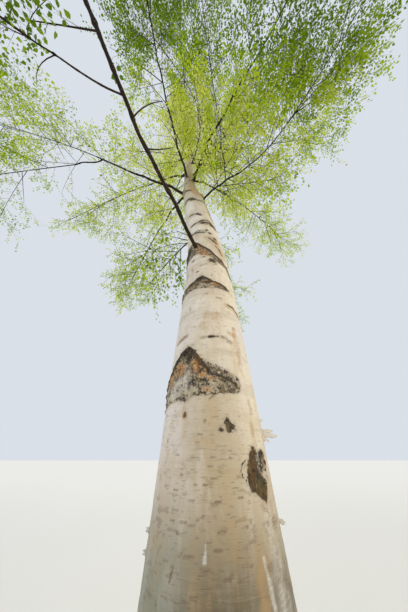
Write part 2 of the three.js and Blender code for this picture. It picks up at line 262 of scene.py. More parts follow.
for name, (path, radius, compass, rise, massLength, parent) in boughs.items():
    lead = unit(path[-1] - path[-2])
    low, high = massShape["heights"]
    share = min(max((path[-1][2] - low) / (high - low), 0), 1)
    addMass(name.replace("bough", "foliage"), path[-1] + lead * clearance, lead,
            heading(*massHeadings.get(name, (compass[1], rise[1] - massShape["droop"]))),
            massLength or mix(*massShape["lengths"], share), massShape["slimness"])
for i in range(innerMasses["count"]):
    t = i / (innerMasses["count"] - 1)
    addTrunkMass(f"inner_foliage_{i + 1}", mix(*innerMasses["heights"], t),
                 innerMasses["firstCompass"] + i * goldenAngle, mix(*innerMasses["rises"], t),
                 mix(*innerMasses["length"], t), massShape["slimness"], massShape["droop"])
addTrunkMass("low_twig_foliage", **lowTwig)
addTrunkMass("top_foliage", height=trunkHeight + clearance, **topMass)

boxMargin = 0.03  # how far the finest twigs may pass the frame's box
boxLow, boxHigh = np.array(cadLow) - boxMargin, np.array(cadHigh) + boxMargin
trunkClear = 0.03  # how far they stay from the trunk
massFeet = np.array([m["foot"] for m in masses])
massAxes = np.array([m["axis"] for m in masses])
massHalves = np.array([m["length"] / 2 for m in masses])
massGirths = np.array([m["girth"] for m in masses])


# Below 1 inside a mass's egg of space, one column for each mass.
def spaceValues(points):
    offset = points[:, None, :] - (massFeet + massAxes * massHalves[:, None])[None]
    along = np.einsum("pmk,mk->pm", offset, massAxes)
    across = np.maximum((offset ** 2).sum(axis=2) - along ** 2, 0)
    return (along / massHalves) ** 2 + across / massGirths ** 2


# True where a point stays in the frame's box and clear of the trunk.
def allowed(points):
    heights = np.clip(points[:, 2], 0, trunkHeight)
    away = np.hypot(points[:, 0] - trunkValue(heights, 1), points[:, 1] - trunkValue(heights, 2))
    inBox = ((points > boxLow) & (points < boxHigh)).all(axis=1)
    return inBox & (away > trunkValue(heights, 3) / 2 + trunkClear)


# True where a point is in its own mass's space and, if apart, nearer to it than to any other.
def belongs(points, owner, skin=1.0, apart=False):
    values = spaceValues(points)
    rows = np.arange(len(points))
    own = values[rows, owner]
    values[rows, owner] = 1e9
    kept = (own < skin) & allowed(points)
    return kept & (values.min(axis=1) > own + twigRule["neighbourMargin"]) if apart else kept


def bezier(start, knee, end, share):
    return start * (1 - share) ** 2 + knee * 2 * share * (1 - share) + end * share ** 2


# The stems and first side twigs of all masses, exactly the frame's.
stems, sides = [], []  # each: start, knee, end, owner
for index, mass in enumerate(masses):
    random = seededRandom(twigRule["firstSeed"] + index)
    knee = mass["foot"] + mass["lead"] * mass["length"] * twigRule["stemLead"]
    end = mass["foot"] + mass["axis"] * mass["length"] * twigRule["stemReach"]
    stems.append((mass["foot"], knee, end, index))
    stem = np.array([bezier(mass["foot"], knee, end, i / 4) for i in range(5)])
    for i in range(twigRule["sideTwigs"]):
        share = mix(twigRule["firstAt"], twigRule["lastAt"], (i + 0.5) / twigRule["sideTwigs"])
        start = pointAlong(stem, share)
        forward = unit(pointAlong(stem, min(share + twigRule["tangentSpan"], 1))
                       - pointAlong(stem, share - twigRule["tangentSpan"]))
        turn = math.radians(i * goldenAngle + twigRule["turnJitter"] * (random() - 0.5))
        lean = math.radians(mix(*twigRule["lean"], random()))
        level = unit(np.cross((0, 0, 1), forward))
        rising = np.cross(forward, level)
        direction = (forward * math.cos(lean) + level * math.sin(lean) * math.cos(turn)
                     + rising * math.sin(lean) * math.sin(turn))
        stepCount = round(twigRule["longest"] / twigRule["probeStep"])
        steps = start + direction * twigRule["probeStep"] * np.arange(1, stepCount + 1)[:, None]
        inside = spaceValues(steps)[:, index] < 1
        reach = (stepCount if inside.all() else inside.argmin()) * twigRule["probeStep"]
        length = reach * mix(*twigRule["fill"], random())
        tip = start + direction * length
        middleAndTip = np.array([(start + tip) / 2, tip])
        if length > 0.1 and belongs(middleAndTip, np.array([index, index]), apart=True).all():
            sides.append((start, (start + tip) / 2, tip, index))

report(f"the frame's rule: {len(boughs)} boughs, {len(masses)} masses, {len(sides)} side twigs")


# Materials
# Adds a node with settings for its properties, and its inputs, each a number or colour or another socket.
def addNode(tree, kind, settings=None, **inputs):
    node = tree.nodes.new(kind)
    for key, value in (settings or {}).items():
        setattr(node, key, value)
    for key, value in inputs.items():
        numbered = key[0] == "i" and key[1:].isdigit()
        socket = node.inputs[int(key[1:]) if numbered else key.replace("_", " ")]
        if isinstance(value, bpy.types.NodeSocket):
            tree.links.new(value, socket)
        else:
            socket.default_value = value
    return node


def newMaterial(name):
    material = bpy.data.materials.new(name)
    material.use_nodes = True
    tree = material.node_tree
    tree.nodes.clear()
    return material, tree


def finishMaterial(tree, shader):
    addNode(tree, "ShaderNodeOutputMaterial", None, Surface=shader.outputs[0])


# Papery birch bark: outer bark of thin white sheets that weather to cream and grey, greener and darker near
# the ground from dirt and from painted shade, crossed by short level pores, and black cork where it has torn.
# Its colour also holds painted light: painted shade at the front and up in the crown, and painted highlights
# of cool sky light on the left and warm sun on the right. To the eye it is chalky and matt, with a faint satin
# on the sheets.
whiteBark = {
    # foot and low darken the trunk low down with dirt and painted shade, and its grey-green is painted shade
    # left and warm are painted highlights of sky light and sun at the sides; left also colours pale runs
    "foot": "#564b31", "low": "#b19f7f", "cream": "#d4c6af", "cool": "#d9d0c8", "algae": "#858c77",
    "left": "#e0d4c9", "warm": "#ecdfc6", "tan": "#b3905c", "shade": "#a7957a", "pore": "#6b5640",
    "peel": "#e9e6de", "cork": "#1a130d", "corkPale": "#5b4a31", "gold": "#7a5325", "inner": "#6f5f45",
    "innerPale": "#b8a88c", "crumb": "#d6cdbf", "rust": "#b57730", "rustPale": "#cea466",
    "rustDark": "#5d3a20", "olive": "#63552c", "upper": "#a18d63", "top": "#5a4231",
    "sheetRoughness": 0.62, "corkRoughness": 0.92, "gritRoughness": 0.14, "ior": 1.48,
    "reliefStrength": 0.6, "reliefDepth": 0.0022,
}
# noises: width round the trunk and height up it in millimetres, detail and roughness
barkNoises = {
    # the sheets: level bands, clean patches, fibres, edges, level dashes of pores, runs of rain, smudges
    "bands": (250, 33.333, 4, 0.6), "patches": (111.11, 200, 3, 0.55), "spread": (62.5, 38.462, 4, 0.6),
    "fibres": (16.667, 1.1, 2, 0.6), "sheetEdges": (111.11, 6.6667, 3, 0.65), "dashes": (16, 2.7, 1, 0.5),
    "longDashes": (36.8, 5.67, 2, 0.5), "fineDashes": (14.286, 2.381, 2, 0.6),
    "runs": (33.333, 111.11, 4, 0.62), "smudges": (20.833, 9.5238, 2, 0.5),
    # the torn cork: upright strands, and lumps from coarse to fine
    "streaks": (9.0909, 71.429, 3, 0.6), "strands": (3.5714, 29.412, 2, 0.6),
    "coarse": (22.222, 22.222, 4, 0.6), "clods": (12.5, 10.526, 3, 0.6), "lumps": (6.25, 6.25, 3, 0.65),
    "crumbs": (3.0303, 3.0303, 2, 0.6), "grit": (2.381, 2.381, 3, 0.7),
}
# what breaks up the marks painted on the mesh: the weight of the coarse lumps, a finer noise and its weight
markBreaks = {
    "corkMark": (2.6, "lumps", 2.2), "scarMark": (2.6, "lumps", 2.2), "rustMark": (0.7, "streaks", 0.42),
    "stainMark": (1.8, "streaks", 1.08), "peelMark": (1.2, "streaks", 0.72),
    "oliveMark": (1.0, "streaks", 0.6), "poreMark": (0.9, "streaks", 0.54),
}
# A share is a pattern's name, where it rises from and to, and the shares there, 0 and 1 unless given. A row
# of them is multiplied. Here the greatest of the rows under a name counts.
barkShares = {
    "pores": [[("dashes", 0.64, 0.76, 0, 0.45)], [("longDashes", 0.66, 0.78, 0, 0.36)],
              [("poreMark", 0.2, 0.9), ("fineDashes", 0.36, 0.56, 0.108, 0.72)]],
    "halo": [[("corkMark", -1.5, 0.1, 0, 0.45)], [("scarMark", -1.7, 0.1, 0, 0.45)]],
    "pits": [[("clods", 0.53, 0.63)], [("lumps", 0.54, 0.63, 0, 0.95)]],
    "moss": [[("clods", 0.36, 0.58, 0, 0.6)], [("strands", 0.48, 0.58, 0, 0.9)]],
    "torn": [[("corkMark", -0.25, 0.3)], [("scarMark", -0.25, 0.3, 0, 0.8)]],
}
# sums: a start, then a weight and a row of shares for each term
barkSums = {
    "patchyHeight": (0, (1, ("patches",)), (1, ("height",))),
    "pitDepth": (0, (1, ("peelMark", 0.15, 0.85, 0.88, 0.46)), (-1, ("rustMark", 0.15, 1.0, 0, 0.25))),
    "roughness": (whiteBark["sheetRoughness"] - whiteBark["gritRoughness"] / 2,
                  (whiteBark["gritRoughness"], ("grit",)),
                  (whiteBark["corkRoughness"] - whiteBark["sheetRoughness"], ("torn",))),
    "relief": (0, (0.5, ("sheetEdges",)), (0.25, ("fibres",)), (0.5, ("pores",)),
               (3.2, ("torn",), ("lumps",)), (1.6, ("torn",), ("streaks",))),
}
# layers: the lowest colour, then each colour over it with its row of shares. One list may use another's
barkLayers = {
    "rusty": ["rustPale", ("rust", ("coarse", 0.38, 0.58)), ("rustDark", ("clods", 0.50, 0.62, 0, 0.8))],
    "mossy": ["olive", ("gold", ("streaks", 0.44, 0.58))],
    "insideScar": [
        "inner", ("innerPale", ("coarse", 0.40, 0.60)), ("crumb", ("peelMark", 0.15, 0.85, 0, 0.60)),
        ("olive", ("oliveMark", 0.2, 0.9, 0, 0.5)), ("rusty", ("rustMark", 0.15, 1.0, 0, 0.85)),
        ("cork", ("pits",), ("pitDepth",)), ("crumb", ("crumbs", 0.57, 0.68, 0, 0.6)),
        ("cork", ("streaks", 0.57, 0.68, 0, 0.5))],
    "tornCork": [
        "cork", ("corkPale", ("lumps", 0.44, 0.66)), ("mossy", ("oliveMark", 0.2, 0.9), ("moss",)),
        ("gold", ("rustMark", 0.15, 1.0), ("clods", 0.40, 0.58, 0.1, 0.8))],
    "bark": [
        # a foot darkened by dirt and painted shade, tan in the middle as painted shade, painted highlights
        # of cool sky light to the left and warm sun to the right, and green-tinted painted shade low on the
        # left
        "foot", ("low", ("height", 0.68, 0.82)), ("cream", ("height", 0.80, 1.12)),
        ("left", ("aside", -0.01, -0.10), ("height", 0.70, 0.90, 0.2, 0.9)),
        ("algae", ("aside", -0.01, -0.10), ("height", 0.84, 0.70, 0, 0.55)),
        ("warm", ("aside", 0.01, 0.10), ("height", 0.70, 0.92, 0.1, 0.75)),
        ("left", ("runs", 0.50, 0.34), ("height", 0.72, 0.90, 0.15, 0.40)),
        ("tan", ("runs", 0.50, 0.68, 0, 0.30)),
        ("pore", ("smudges", 0.57, 0.67), ("height", 0.94, 0.76, 0, 0.42)),
        ("cool", ("patches", 0.52, 0.70), ("height", 0.70, 1.2, 0.1, 0.6)),
        ("shade", ("bands", 0.50, 0.72, 0, 0.34)), ("tan", ("spread", 0.52, 0.72, 0, 0.26)),
        ("shade", ("sheetEdges", 0.57, 0.70, 0, 0.30)), ("shade", ("fibres", 0.52, 0.78, 0, 0.22)),
        ("tan", ("stainMark", 0.15, 1.0, 0, 0.50)),
        # painted shade of the crown browns the sheets higher up and young bark is brown at the top, then pores
        # and peeling sheets
        ("upper", ("patchyHeight", 2.2, 3.9, 0, 0.8)), ("top", ("height", 6.5, 11.0)),
        ("pore", ("pores",), ("height", 0.3, 6.0, 1, 0.5)),
        ("peel", ("peelMark", 0.15, 0.85), ("fineDashes", 0.30, 0.62, 0.558, 0.31)),
        # rust, the scars and the black cork, with a dull halo round them
        ("shade", ("halo",)), ("rusty", ("rustMark", 0.15, 1.0), ("unscarred",)),
        ("insideScar", ("scarMark", -0.25, 0.3)), ("tornCork", ("corkMark", -0.25, 0.3, 0, 0.94))],
}


def makeBarkMaterial():
    look = whiteBark
    material, tree = newMaterial("papery_birch_bark")
    place = addNode(tree, "ShaderNodeAttribute", {"attribute_name": "barkPlace"}).outputs["Vector"]
    split = addNode(tree, "ShaderNodeSeparateXYZ", None, Vector=place).outputs
    patterns = {"aside": split["X"], "height": split["Z"]}
    for name, (wide, tall, detail, roughness) in barkNoises.items():
        scaled = addNode(tree, "ShaderNodeVectorMath", {"operation": "MULTIPLY"}, i0=place,
                         i1=(1000 / wide, 1000 / wide, 1000 / tall)).outputs[0]
        patterns[name] = addNode(tree, "ShaderNodeTexNoise", None, Vector=scaled, Scale=1.0, Detail=detail,
                                 Roughness=roughness).outputs["Fac"]

    def product(row):
        share = None
        for name, *limits in row:
            value = patterns[name]
            if limits:
                low, high, outLow, outHigh = (*limits, 0, 1)[:4]
                value = addNode(tree, "ShaderNodeMapRange", {"interpolation_type": "SMOOTHSTEP"}, Value=value,
                                From_Min=low, From_Max=high, To_Min=outLow, To_Max=outHigh).outputs[0]
            share = value if share is None else addNode(tree, "ShaderNodeMath", {"operation": "MULTIPLY"},
                                                        i0=share, i1=value).outputs[0]
        return share

    def weightedSum(total, *terms):
        for weight, *row in terms:
            total = addNode(tree, "ShaderNodeMath", {"operation": "MULTIPLY_ADD"}, i0=product(row), i1=weight,
                            i2=total).outputs[0]
        return total

    for mark, (coarseWeight, finer, finerWeight) in markBreaks.items():
        patterns[mark] = addNode(tree, "ShaderNodeAttribute", {"attribute_name": mark}).outputs["Fac"]
        patterns[mark] = weightedSum(-(coarseWeight + finerWeight) / 2, (1, (mark,)),
                                     (coarseWeight, ("coarse",)), (finerWeight, (finer,)))
    for name, rows in barkShares.items():
        patterns[name] = product(rows[0])
        for row in rows[1:]:
            patterns[name] = addNode(tree, "ShaderNodeMath", {"operation": "MAXIMUM"}, i0=patterns[name],
                                     i1=product(row)).outputs[0]
    # the share outside the scars, where rust colours the sheets
    patterns["unscarred"] = addNode(tree, "ShaderNodeMath", {"operation": "SUBTRACT", "use_clamp": True},
                                    i0=0.8, i1=product([("scarMark", -0.25, 0.3)])).outputs[0]
    for name, terms in barkSums.items():
        patterns[name] = weightedSum(*terms)
    colours = {name: linearColour(value) for name, value in look.items() if isinstance(value, str)}
    for name, (lowest, *layers) in barkLayers.items():
        colours[name] = colours[lowest]
        for over, *row in layers:
            colours[name] = addNode(tree, "ShaderNodeMix", {"data_type": "RGBA"}, i0=product(row),
                                    i6=colours[name], i7=colours[over]).outputs[2]

    bump = addNode(tree, "ShaderNodeBump", None, Strength=look["reliefStrength"],
                   Distance=look["reliefDepth"], Height=patterns["relief"])
    shader = addNode(tree, "ShaderNodeBsdfPrincipled", None, Base_Color=colours["bark"],
                     Roughness=patterns["roughness"], IOR=look["ior"], Normal=bump.outputs[0])
    finishMaterial(tree, shader)
    return material


# Young birch bark on boughs and twigs: smooth, nearly black-brown, with small pale pores. Its fine cracks
# trap most of the gloss, so it looks dull.
darkBark = {"boughs": ("#44321d", "#0f0a05"), "twigs": ("#37291d", "#1e150e"), "pore": "#7d6748",
            "roughness": 0.75, "ior": 1.45, "specular": 0.2,
            "mottleWidth": 26.3158, "poreSpacing": 13.2}  # in millimetres


def makeDarkMaterial(name, brown, black):
    look = darkBark
    material, tree = newMaterial(name)
    place = addNode(tree, "ShaderNodeTexCoord").outputs["Object"]
    mottle = addNode(tree, "ShaderNodeTexNoise", None, Vector=place, Scale=1000 / look["mottleWidth"],
                     Detail=4.0).outputs["Fac"]
    spots = addNode(tree, "ShaderNodeTexVoronoi", {"feature": "F1"}, Vector=place,
                    Scale=1000 / look["poreSpacing"]).outputs["Distance"]
    # painted shade on the low boughs, growing outwards; a plain darker tone on the other boughs
    shade = addNode(tree, "ShaderNodeAttribute", {"attribute_name": "shade"}).outputs["Fac"]
    pores = addNode(tree, "ShaderNodeMapRange", None, Value=spots, From_Min=0.22, From_Max=0.12,
                    To_Min=0.0, To_Max=0.55).outputs[0]
    colour = linearColour(brown)
    for share, over in ((mottle, black), (shade, black), (pores, look["pore"])):
        colour = addNode(tree, "ShaderNodeMix", {"data_type": "RGBA"}, i0=share, i6=colour,
                         i7=linearColour(over)).outputs[2]
    bump = addNode(tree, "ShaderNodeBump", None, Strength=0.5, Distance=0.001, Height=mottle)
    shader = addNode(tree, "ShaderNodeBsdfPrincipled", None, Base_Color=colour, Roughness=look["roughness"],
                     IOR=look["ior"], Specular_IOR_Level=look["specular"], Normal=bump.outputs[0])
    finishMaterial(tree, shader)
    return material


# Young birch leaves, a thin waxed blade: bright yellow-green, satin above, and lit through from behind.
# Each spray takes one of these plain greens as painted light and shade, from the sunlit top of the
# crown to its shaded underside.
leafLooks = {
    "pale_leaf": ("#d2d95c", "#ecf07c"),
    "sunlit_leaf": ("#b4c72a", "#d6e23c"),
    "leaf_in_some_sun": ("#a0b91c", "#c2d52c"),
    "leaf_in_half_shade": ("#8ba714", "#abc421"),
    "green_leaf": ("#6f8d10", "#8fac19"),
    "shaded_leaf": ("#52700d", "#6f8e13"),
}
leafFinish = {"roughness": 0.5, "ior": 1.40, "specular": 0.25, "litThrough": 0.5,
              "veinSpacing": 6}  # in millimetres


def makeLeafMaterial(name, face, glow):
    look = leafFinish
    material, tree = newMaterial(name)
    place = addNode(tree, "ShaderNodeTexCoord").outputs["Object"]
    veins = addNode(tree, "ShaderNodeTexNoise", None, Vector=place, Scale=1000 / look["veinSpacing"],
                    Detail=2.0).outputs["Fac"]
    bump = addNode(tree, "ShaderNodeBump", None, Strength=0.3, Distance=0.0008, Height=veins)
    waxed = addNode(tree, "ShaderNodeBsdfPrincipled", None, Base_Color=linearColour(face),
                    Roughness=look["roughness"], IOR=look["ior"], Specular_IOR_Level=look["specular"],
                    Normal=bump.outputs[0])
    lit = addNode(tree, "ShaderNodeBsdfTranslucent", None, Color=linearColour(glow))
    shader = addNode(tree, "ShaderNodeMixShader", None, Fac=look["litThrough"], i1=waxed.outputs[0],
                     i2=lit.outputs[0])
    finishMaterial(tree, shader)
    return material


barkMaterial = makeBarkMaterial()
boughMaterial = makeDarkMaterial("dark_birch_bough_bark", *darkBark["boughs"])
twigMaterial = makeDarkMaterial("brown_birch_twig_bark", *darkBark["twigs"])
leafMaterials = [makeLeafMaterial(name, *looks) for name, looks in leafLooks.items()]
report("materials")


# Meshes
# Makes a mesh object from arrays of vertices and triangles or quads, all faces of one size.
def meshObject(name, vertices, faces, materials, faceMaterial=None, smoothFaces=True, attributes=None):
    mesh = bpy.data.meshes.new(name)
    count, corners = faces.shape
    mesh.vertices.add(len(vertices))
    mesh.vertices.foreach_set("co", np.ascontiguousarray(vertices, dtype=np.float32).ravel())
    mesh.loops.add(count * corners)
    mesh.loops.foreach_set("vertex_index", np.ascontiguousarray(faces, dtype=np.int32).ravel())
    mesh.polygons.add(count)
    mesh.polygons.foreach_set("loop_start", np.arange(0, count * corners, corners, dtype=np.int32))
    mesh.polygons.foreach_set("loop_total", np.full(count, corners, dtype=np.int32))
    for material in materials:
        mesh.materials.append(material)
    if faceMaterial is not None:
        mesh.polygons.foreach_set("material_index", np.ascontiguousarray(faceMaterial, dtype=np.int32))
    mesh.polygons.foreach_set("use_smooth", np.full(count, smoothFaces))
    for key, values in (attributes or {}).items():
        kind, field = ("FLOAT_VECTOR", "vector") if values.ndim == 2 else ("FLOAT", "value")
        layer = mesh.attributes.new(key, kind, "POINT")
        layer.data.foreach_set(field, np.ascontiguousarray(values, dtype=np.float32).ravel())
    mesh.update(calc_edges=True)
    mesh.validate()
    piece = bpy.data.objects.new(name, mesh)
    bpy.context.scene.collection.objects.link(piece)
    return piece


# Triangles of a closed tube: its rings from foot to tip, then the middles of its two ends.
def tubeTriangles(rings, sides):
    ring, side = np.meshgrid(np.arange(rings - 1) * sides, np.arange(sides), indexing="ij")
    ring, side = ring.ravel(), side.ravel()
    beyond = (side + 1) % sides
    first = np.arange(sides)
    second = (first + 1) % sides
    last = (rings - 1) * sides
    return np.concatenate([
        np.column_stack([ring + side, ring + beyond, ring + sides + beyond]),
        np.column_stack([ring + side, ring + sides + beyond, ring + sides + side]),
        np.column_stack([second, first, np.full(sides, last + sides)]),
        np.column_stack([last + first, last + second, np.full(sides, last + sides + 1)])])


# The trunk: its relief and marks are painted over a fine mesh of level rings
# A mark's place is an angle round the trunk, in degrees from the front and growing to the right, and a
# height in metres.
trunkMesh = {"frontStep": 1.45, "backStep": 2.9, "frontHalf": 104,
             "rings": [(0, 0.6, 44), (0.6, 1.45, 226), (1.45, 2.0, 92), (2.0, 3.4, 66), (3.4, 12.4, 76)]}
# scars that the photograph shows: half width of the black rim, depth of the relief, outline, and the rim
scars = {
    "main": {"rimWidth": 0.0062, "rough": 0.0055, "outline": [
        (-31, 1.09), (-22, 1.07), (-14, 1.044), (-8, 1.038), (0, 1.028), (9, 1.02), (18, 1.012),
        (26, 1.004), (32, 0.996), (34, 0.984), (32, 0.97), (26, 0.962), (19, 0.961), (8, 0.959),
        (-2, 0.957), (-12, 0.956), (-24, 0.956), (-36, 0.952), (-48, 0.953), (-60, 0.948), (-74, 0.94),
        (-90, 0.93), (-106, 0.92), (-112, 0.945), (-100, 0.968), (-84, 0.994), (-70, 1.022), (-58, 1.042),
        (-49, 1.062), (-40, 1.08),
    ], "rim": [
        (-112, 0.94), (-98, 0.966), (-84, 0.988), (-70, 1.012), (-58, 1.032), (-49, 1.052), (-40, 1.07),
        (-31, 1.08), (-23, 1.062), (-14, 1.034), (-4, 1.011),
    ]},
    "arch": {"rimWidth": 0.005, "rough": 0.0045, "outline": [
        (-112, 1.3), (-90, 1.338), (-67, 1.366), (-45, 1.373), (-32, 1.381), (-22, 1.397), (-12, 1.398),
        (-2, 1.378), (8, 1.364), (18, 1.358), (30, 1.348), (42, 1.328), (33, 1.321), (18, 1.323),
        (4, 1.322), (-10, 1.322), (-25, 1.328), (-42, 1.332), (-60, 1.33), (-80, 1.314), (-108, 1.284),
    ], "rim": [
        (-112, 1.298), (-90, 1.334), (-67, 1.362), (-45, 1.369), (-32, 1.377), (-22, 1.392), (-13, 1.393),
        (-3, 1.374), (7, 1.359), (17, 1.353), (29, 1.343), (38, 1.33),
    ]},
    "collar": {"rimWidth": 0.006, "rough": 0.006, "outline": [
        (-112, 1.59), (-85, 1.65), (-60, 1.7), (-45, 1.712), (-32, 1.704), (-20, 1.664), (-8, 1.632),
        (8, 1.596), (20, 1.56), (38, 1.532), (52, 1.482), (40, 1.488), (24, 1.508), (12, 1.538),
        (0, 1.554), (-15, 1.566), (-27, 1.584), (-40, 1.584), (-55, 1.578), (-80, 1.574), (-108, 1.56),
    ], "rim": [
        (-84, 1.646), (-60, 1.694), (-47, 1.704), (-33, 1.7), (-20, 1.662), (-9, 1.63), (8, 1.592),
        (18, 1.556), (38, 1.528), (52, 1.476), (60, 1.43),
    ]},
    "wound": {"rimWidth": 0.0012, "rough": 0.006, "outline": [
        (37, 0.869), (33, 0.857), (31, 0.846), (29, 0.836), (27, 0.825), (28, 0.816), (31, 0.809),
        (36, 0.804), (42, 0.798), (47, 0.794), (51, 0.806), (54, 0.82), (57, 0.834), (62, 0.846),
        (62, 0.857), (56, 0.863), (49, 0.864), (44, 0.86), (41, 0.867),
    ], "rim": [
        (27, 0.848), (23, 0.844), (21, 0.834), (23, 0.825), (27, 0.819),
    ]},
}
# strokes, from the foot up: half width in millimetres, strength, then each point
barkStrokes = {
    "corkMark": [
        (2.4, 0.6, (-1, 0.723), (0, 0.716)), (2.4, 0.55, (9, 0.731), (10, 0.732)),
        (2.2, 0.4, (-31, 0.734), (-33, 0.728)), (3.4, 0.5, (-32, 0.96), (-28, 0.958)),
        (4.4, 0.55, (-14, 0.962), (-8, 0.961)), (5, 0.6, (29, 0.976), (24, 0.97), (18, 0.972)),
        (7, 0.75, (-6, 1.012), (4, 1.001), (12, 0.996), (22, 0.99), (28, 0.982)),
        (5, 0.45, (0, 1.018), (12, 1.008), (22, 0.998)),
        (10.5, 1, (-38, 1.066), (-31, 1.078), (-25, 1.064)), (12, 0.9, (-32, 1.072), (-30, 1.044)),
        (2.6, 0.3, (-13, 1.105), (22, 1.113)), (4.6, 0.75, (-3, 1.109), (9, 1.111)),
        (6.2, 0.75, (33, 1.249), (44, 1.248), (56, 1.236), (66, 1.222)),
        (3.2, 0.8, (-29, 1.438), (-24, 1.44)), (4.5, 0.7, (-22, 1.478), (-6, 1.486)),
        (6, 0.9, (9, 1.516), (15, 1.51)), (5, 0.9, (40, 1.526), (47, 1.498), (54, 1.462)),
        (4.5, 0.8, (-41, 1.541), (-37, 1.543)), (6, 0.8, (26, 1.66), (36, 1.64), (44, 1.6)),
        (8, 0.9, (12, 1.73), (22, 1.716), (30, 1.694)),
        (4.2, 0.95, (-48, 1.818), (-36, 1.832), (-24, 1.834), (-10, 1.828), (6, 1.806)),
        (9, 0.95, (-52, 1.826), (-40, 1.826), (-28, 1.816), (-11, 1.806), (-3, 1.796)),
        (16, 0.85, (-2, 1.932), (10, 1.952), (24, 1.952), (34, 1.925)),
        (10, 0.9, (-42, 1.94), (-30, 1.95), (-17, 1.952), (7, 1.984), (26, 1.99), (40, 1.936), (48, 1.9)),
        (11, 0.95, (-47, 2.136), (-25, 2.118), (-10, 2.106), (0, 2.072)),
        (16, 0.9, (-12, 2.45), (6, 2.426), (40, 2.45), (70, 2.5)),
        (7, 0.8, (64, 2.48), (52, 2.3), (50, 2.15), (58, 2.04)),
        (24, 1, (-67, 2.51), (-46, 2.53), (-27, 2.512), (-12, 2.45)),
        (22, 0.9, (-72, 2.86), (-54, 2.93), (-29, 2.84), (-12, 2.8)),
        (14, 0.9, (-14, 3.44), (8, 3.45), (24, 3.42)), (14, 0.8, (-20, 4.06), (12, 4.08), (30, 4.05)),
    ],
    "scarMark": [
        (7, 0.9, (-36, 0.956), (-31, 0.952)),
    ],
    "rustMark": [
        (3, 0.6, (39, 1.02), (40, 1.012)), (3, 0.6, (33, 1.122), (36, 1.108)),
        (45, 0.75, (0, 3.03), (8, 2.8), (22, 2.62)),
    ],
    "stainMark": [
        (9, 0.75, (28, 0.75), (28, 0.7), (26, 0.64), (27, 0.56)), (5, 0.8, (-30, 0.908), (-30, 0.885)),
        (6, 0.8, (45, 0.95), (46, 0.936)), (6, 0.8, (40, 1.02), (41, 1.008)),
        (7, 0.8, (-58, 1.114), (-40, 1.125)), (6, 0.9, (33, 1.126), (38, 1.096), (40, 1.07), (38, 1.04)),
        (5, 0.8, (26, 1.13), (33, 1.116)), (6, 0.7, (8, 1.192), (10, 1.176)),
        (12, 1, (33, 1.243), (44, 1.238), (56, 1.226)), (36, 1, (18, 1.73), (32, 1.68), (42, 1.6)),
        (14, 0.7, (-48, 1.806), (-28, 1.796), (-8, 1.786)),
        (30, 0.9, (-5, 1.925), (12, 1.945), (26, 1.94), (38, 1.915)),
        (16, 0.6, (-50, 2.1), (-20, 2.092), (10, 2.06)), (34, 0.8, (-60, 2.49), (-10, 2.42), (40, 2.42)),
        (20, 0.9, (62, 2.5), (47, 2.3), (46, 2.15), (54, 2.06)),
        (30, 0.8, (-20, 3.78), (12, 3.82), (30, 3.78)),
    ],
    "peelMark": [
        (3.6, 0.75, (33, 0.742), (35, 0.722), (37, 0.695)), (20, 0.5, (44, 0.77), (46, 0.735), (50, 0.7)),
        (30, 0.8, (-34, 1.89), (-12, 1.88)), (34, 0.8, (-40, 2.04), (-10, 2.03)),
        (50, 0.8, (-46, 2.4), (-42, 2.24)),
    ],
    "oliveMark": [
        (5, 0.9, (-1, 0.727), (-1, 0.714)), (6, 0.9, (33, 1.24), (48, 1.241)),
        (24, 0.9, (22, 1.71), (36, 1.66)), (60, 0.85, (28, 3.04), (40, 2.75), (52, 2.6)),
    ],
    "poreMark": [
        (2.4, 1, (5, 0.732), (6, 0.732)), (2, 1, (-31, 0.737), (-33, 0.724)),
        (1.6, 0.55, (-41, 0.76), (-43, 0.752), (-47, 0.744), (-48, 0.734), (-53, 0.724)),
        (2.4, 0.9, (-4, 0.948), (0, 0.954), (6, 0.961)),
        (6, 0.8, (-13, 1.106), (-2, 1.109), (10, 1.111), (22, 1.108)),
        (6, 1, (-60, 1.115), (-48, 1.122), (-38, 1.128)), (2, 0.5, (-6, 1.162), (20, 1.16)),
        (2, 0.5, (-16, 1.196), (14, 1.198), (28, 1.204)),
        (2.4, 0.5, (-38, 1.226), (-14, 1.226), (2, 1.222)), (4.6, 0.8, (-37, 1.24), (-36, 1.228)),
        (3.6, 0.6, (-33, 1.256), (-26, 1.262)), (5, 0.9, (12, 1.272), (20, 1.271)),
        (5, 0.8, (-14, 1.288), (-6, 1.29)), (3.4, 1, (-16, 1.48), (-7, 1.484)),
    ],
}
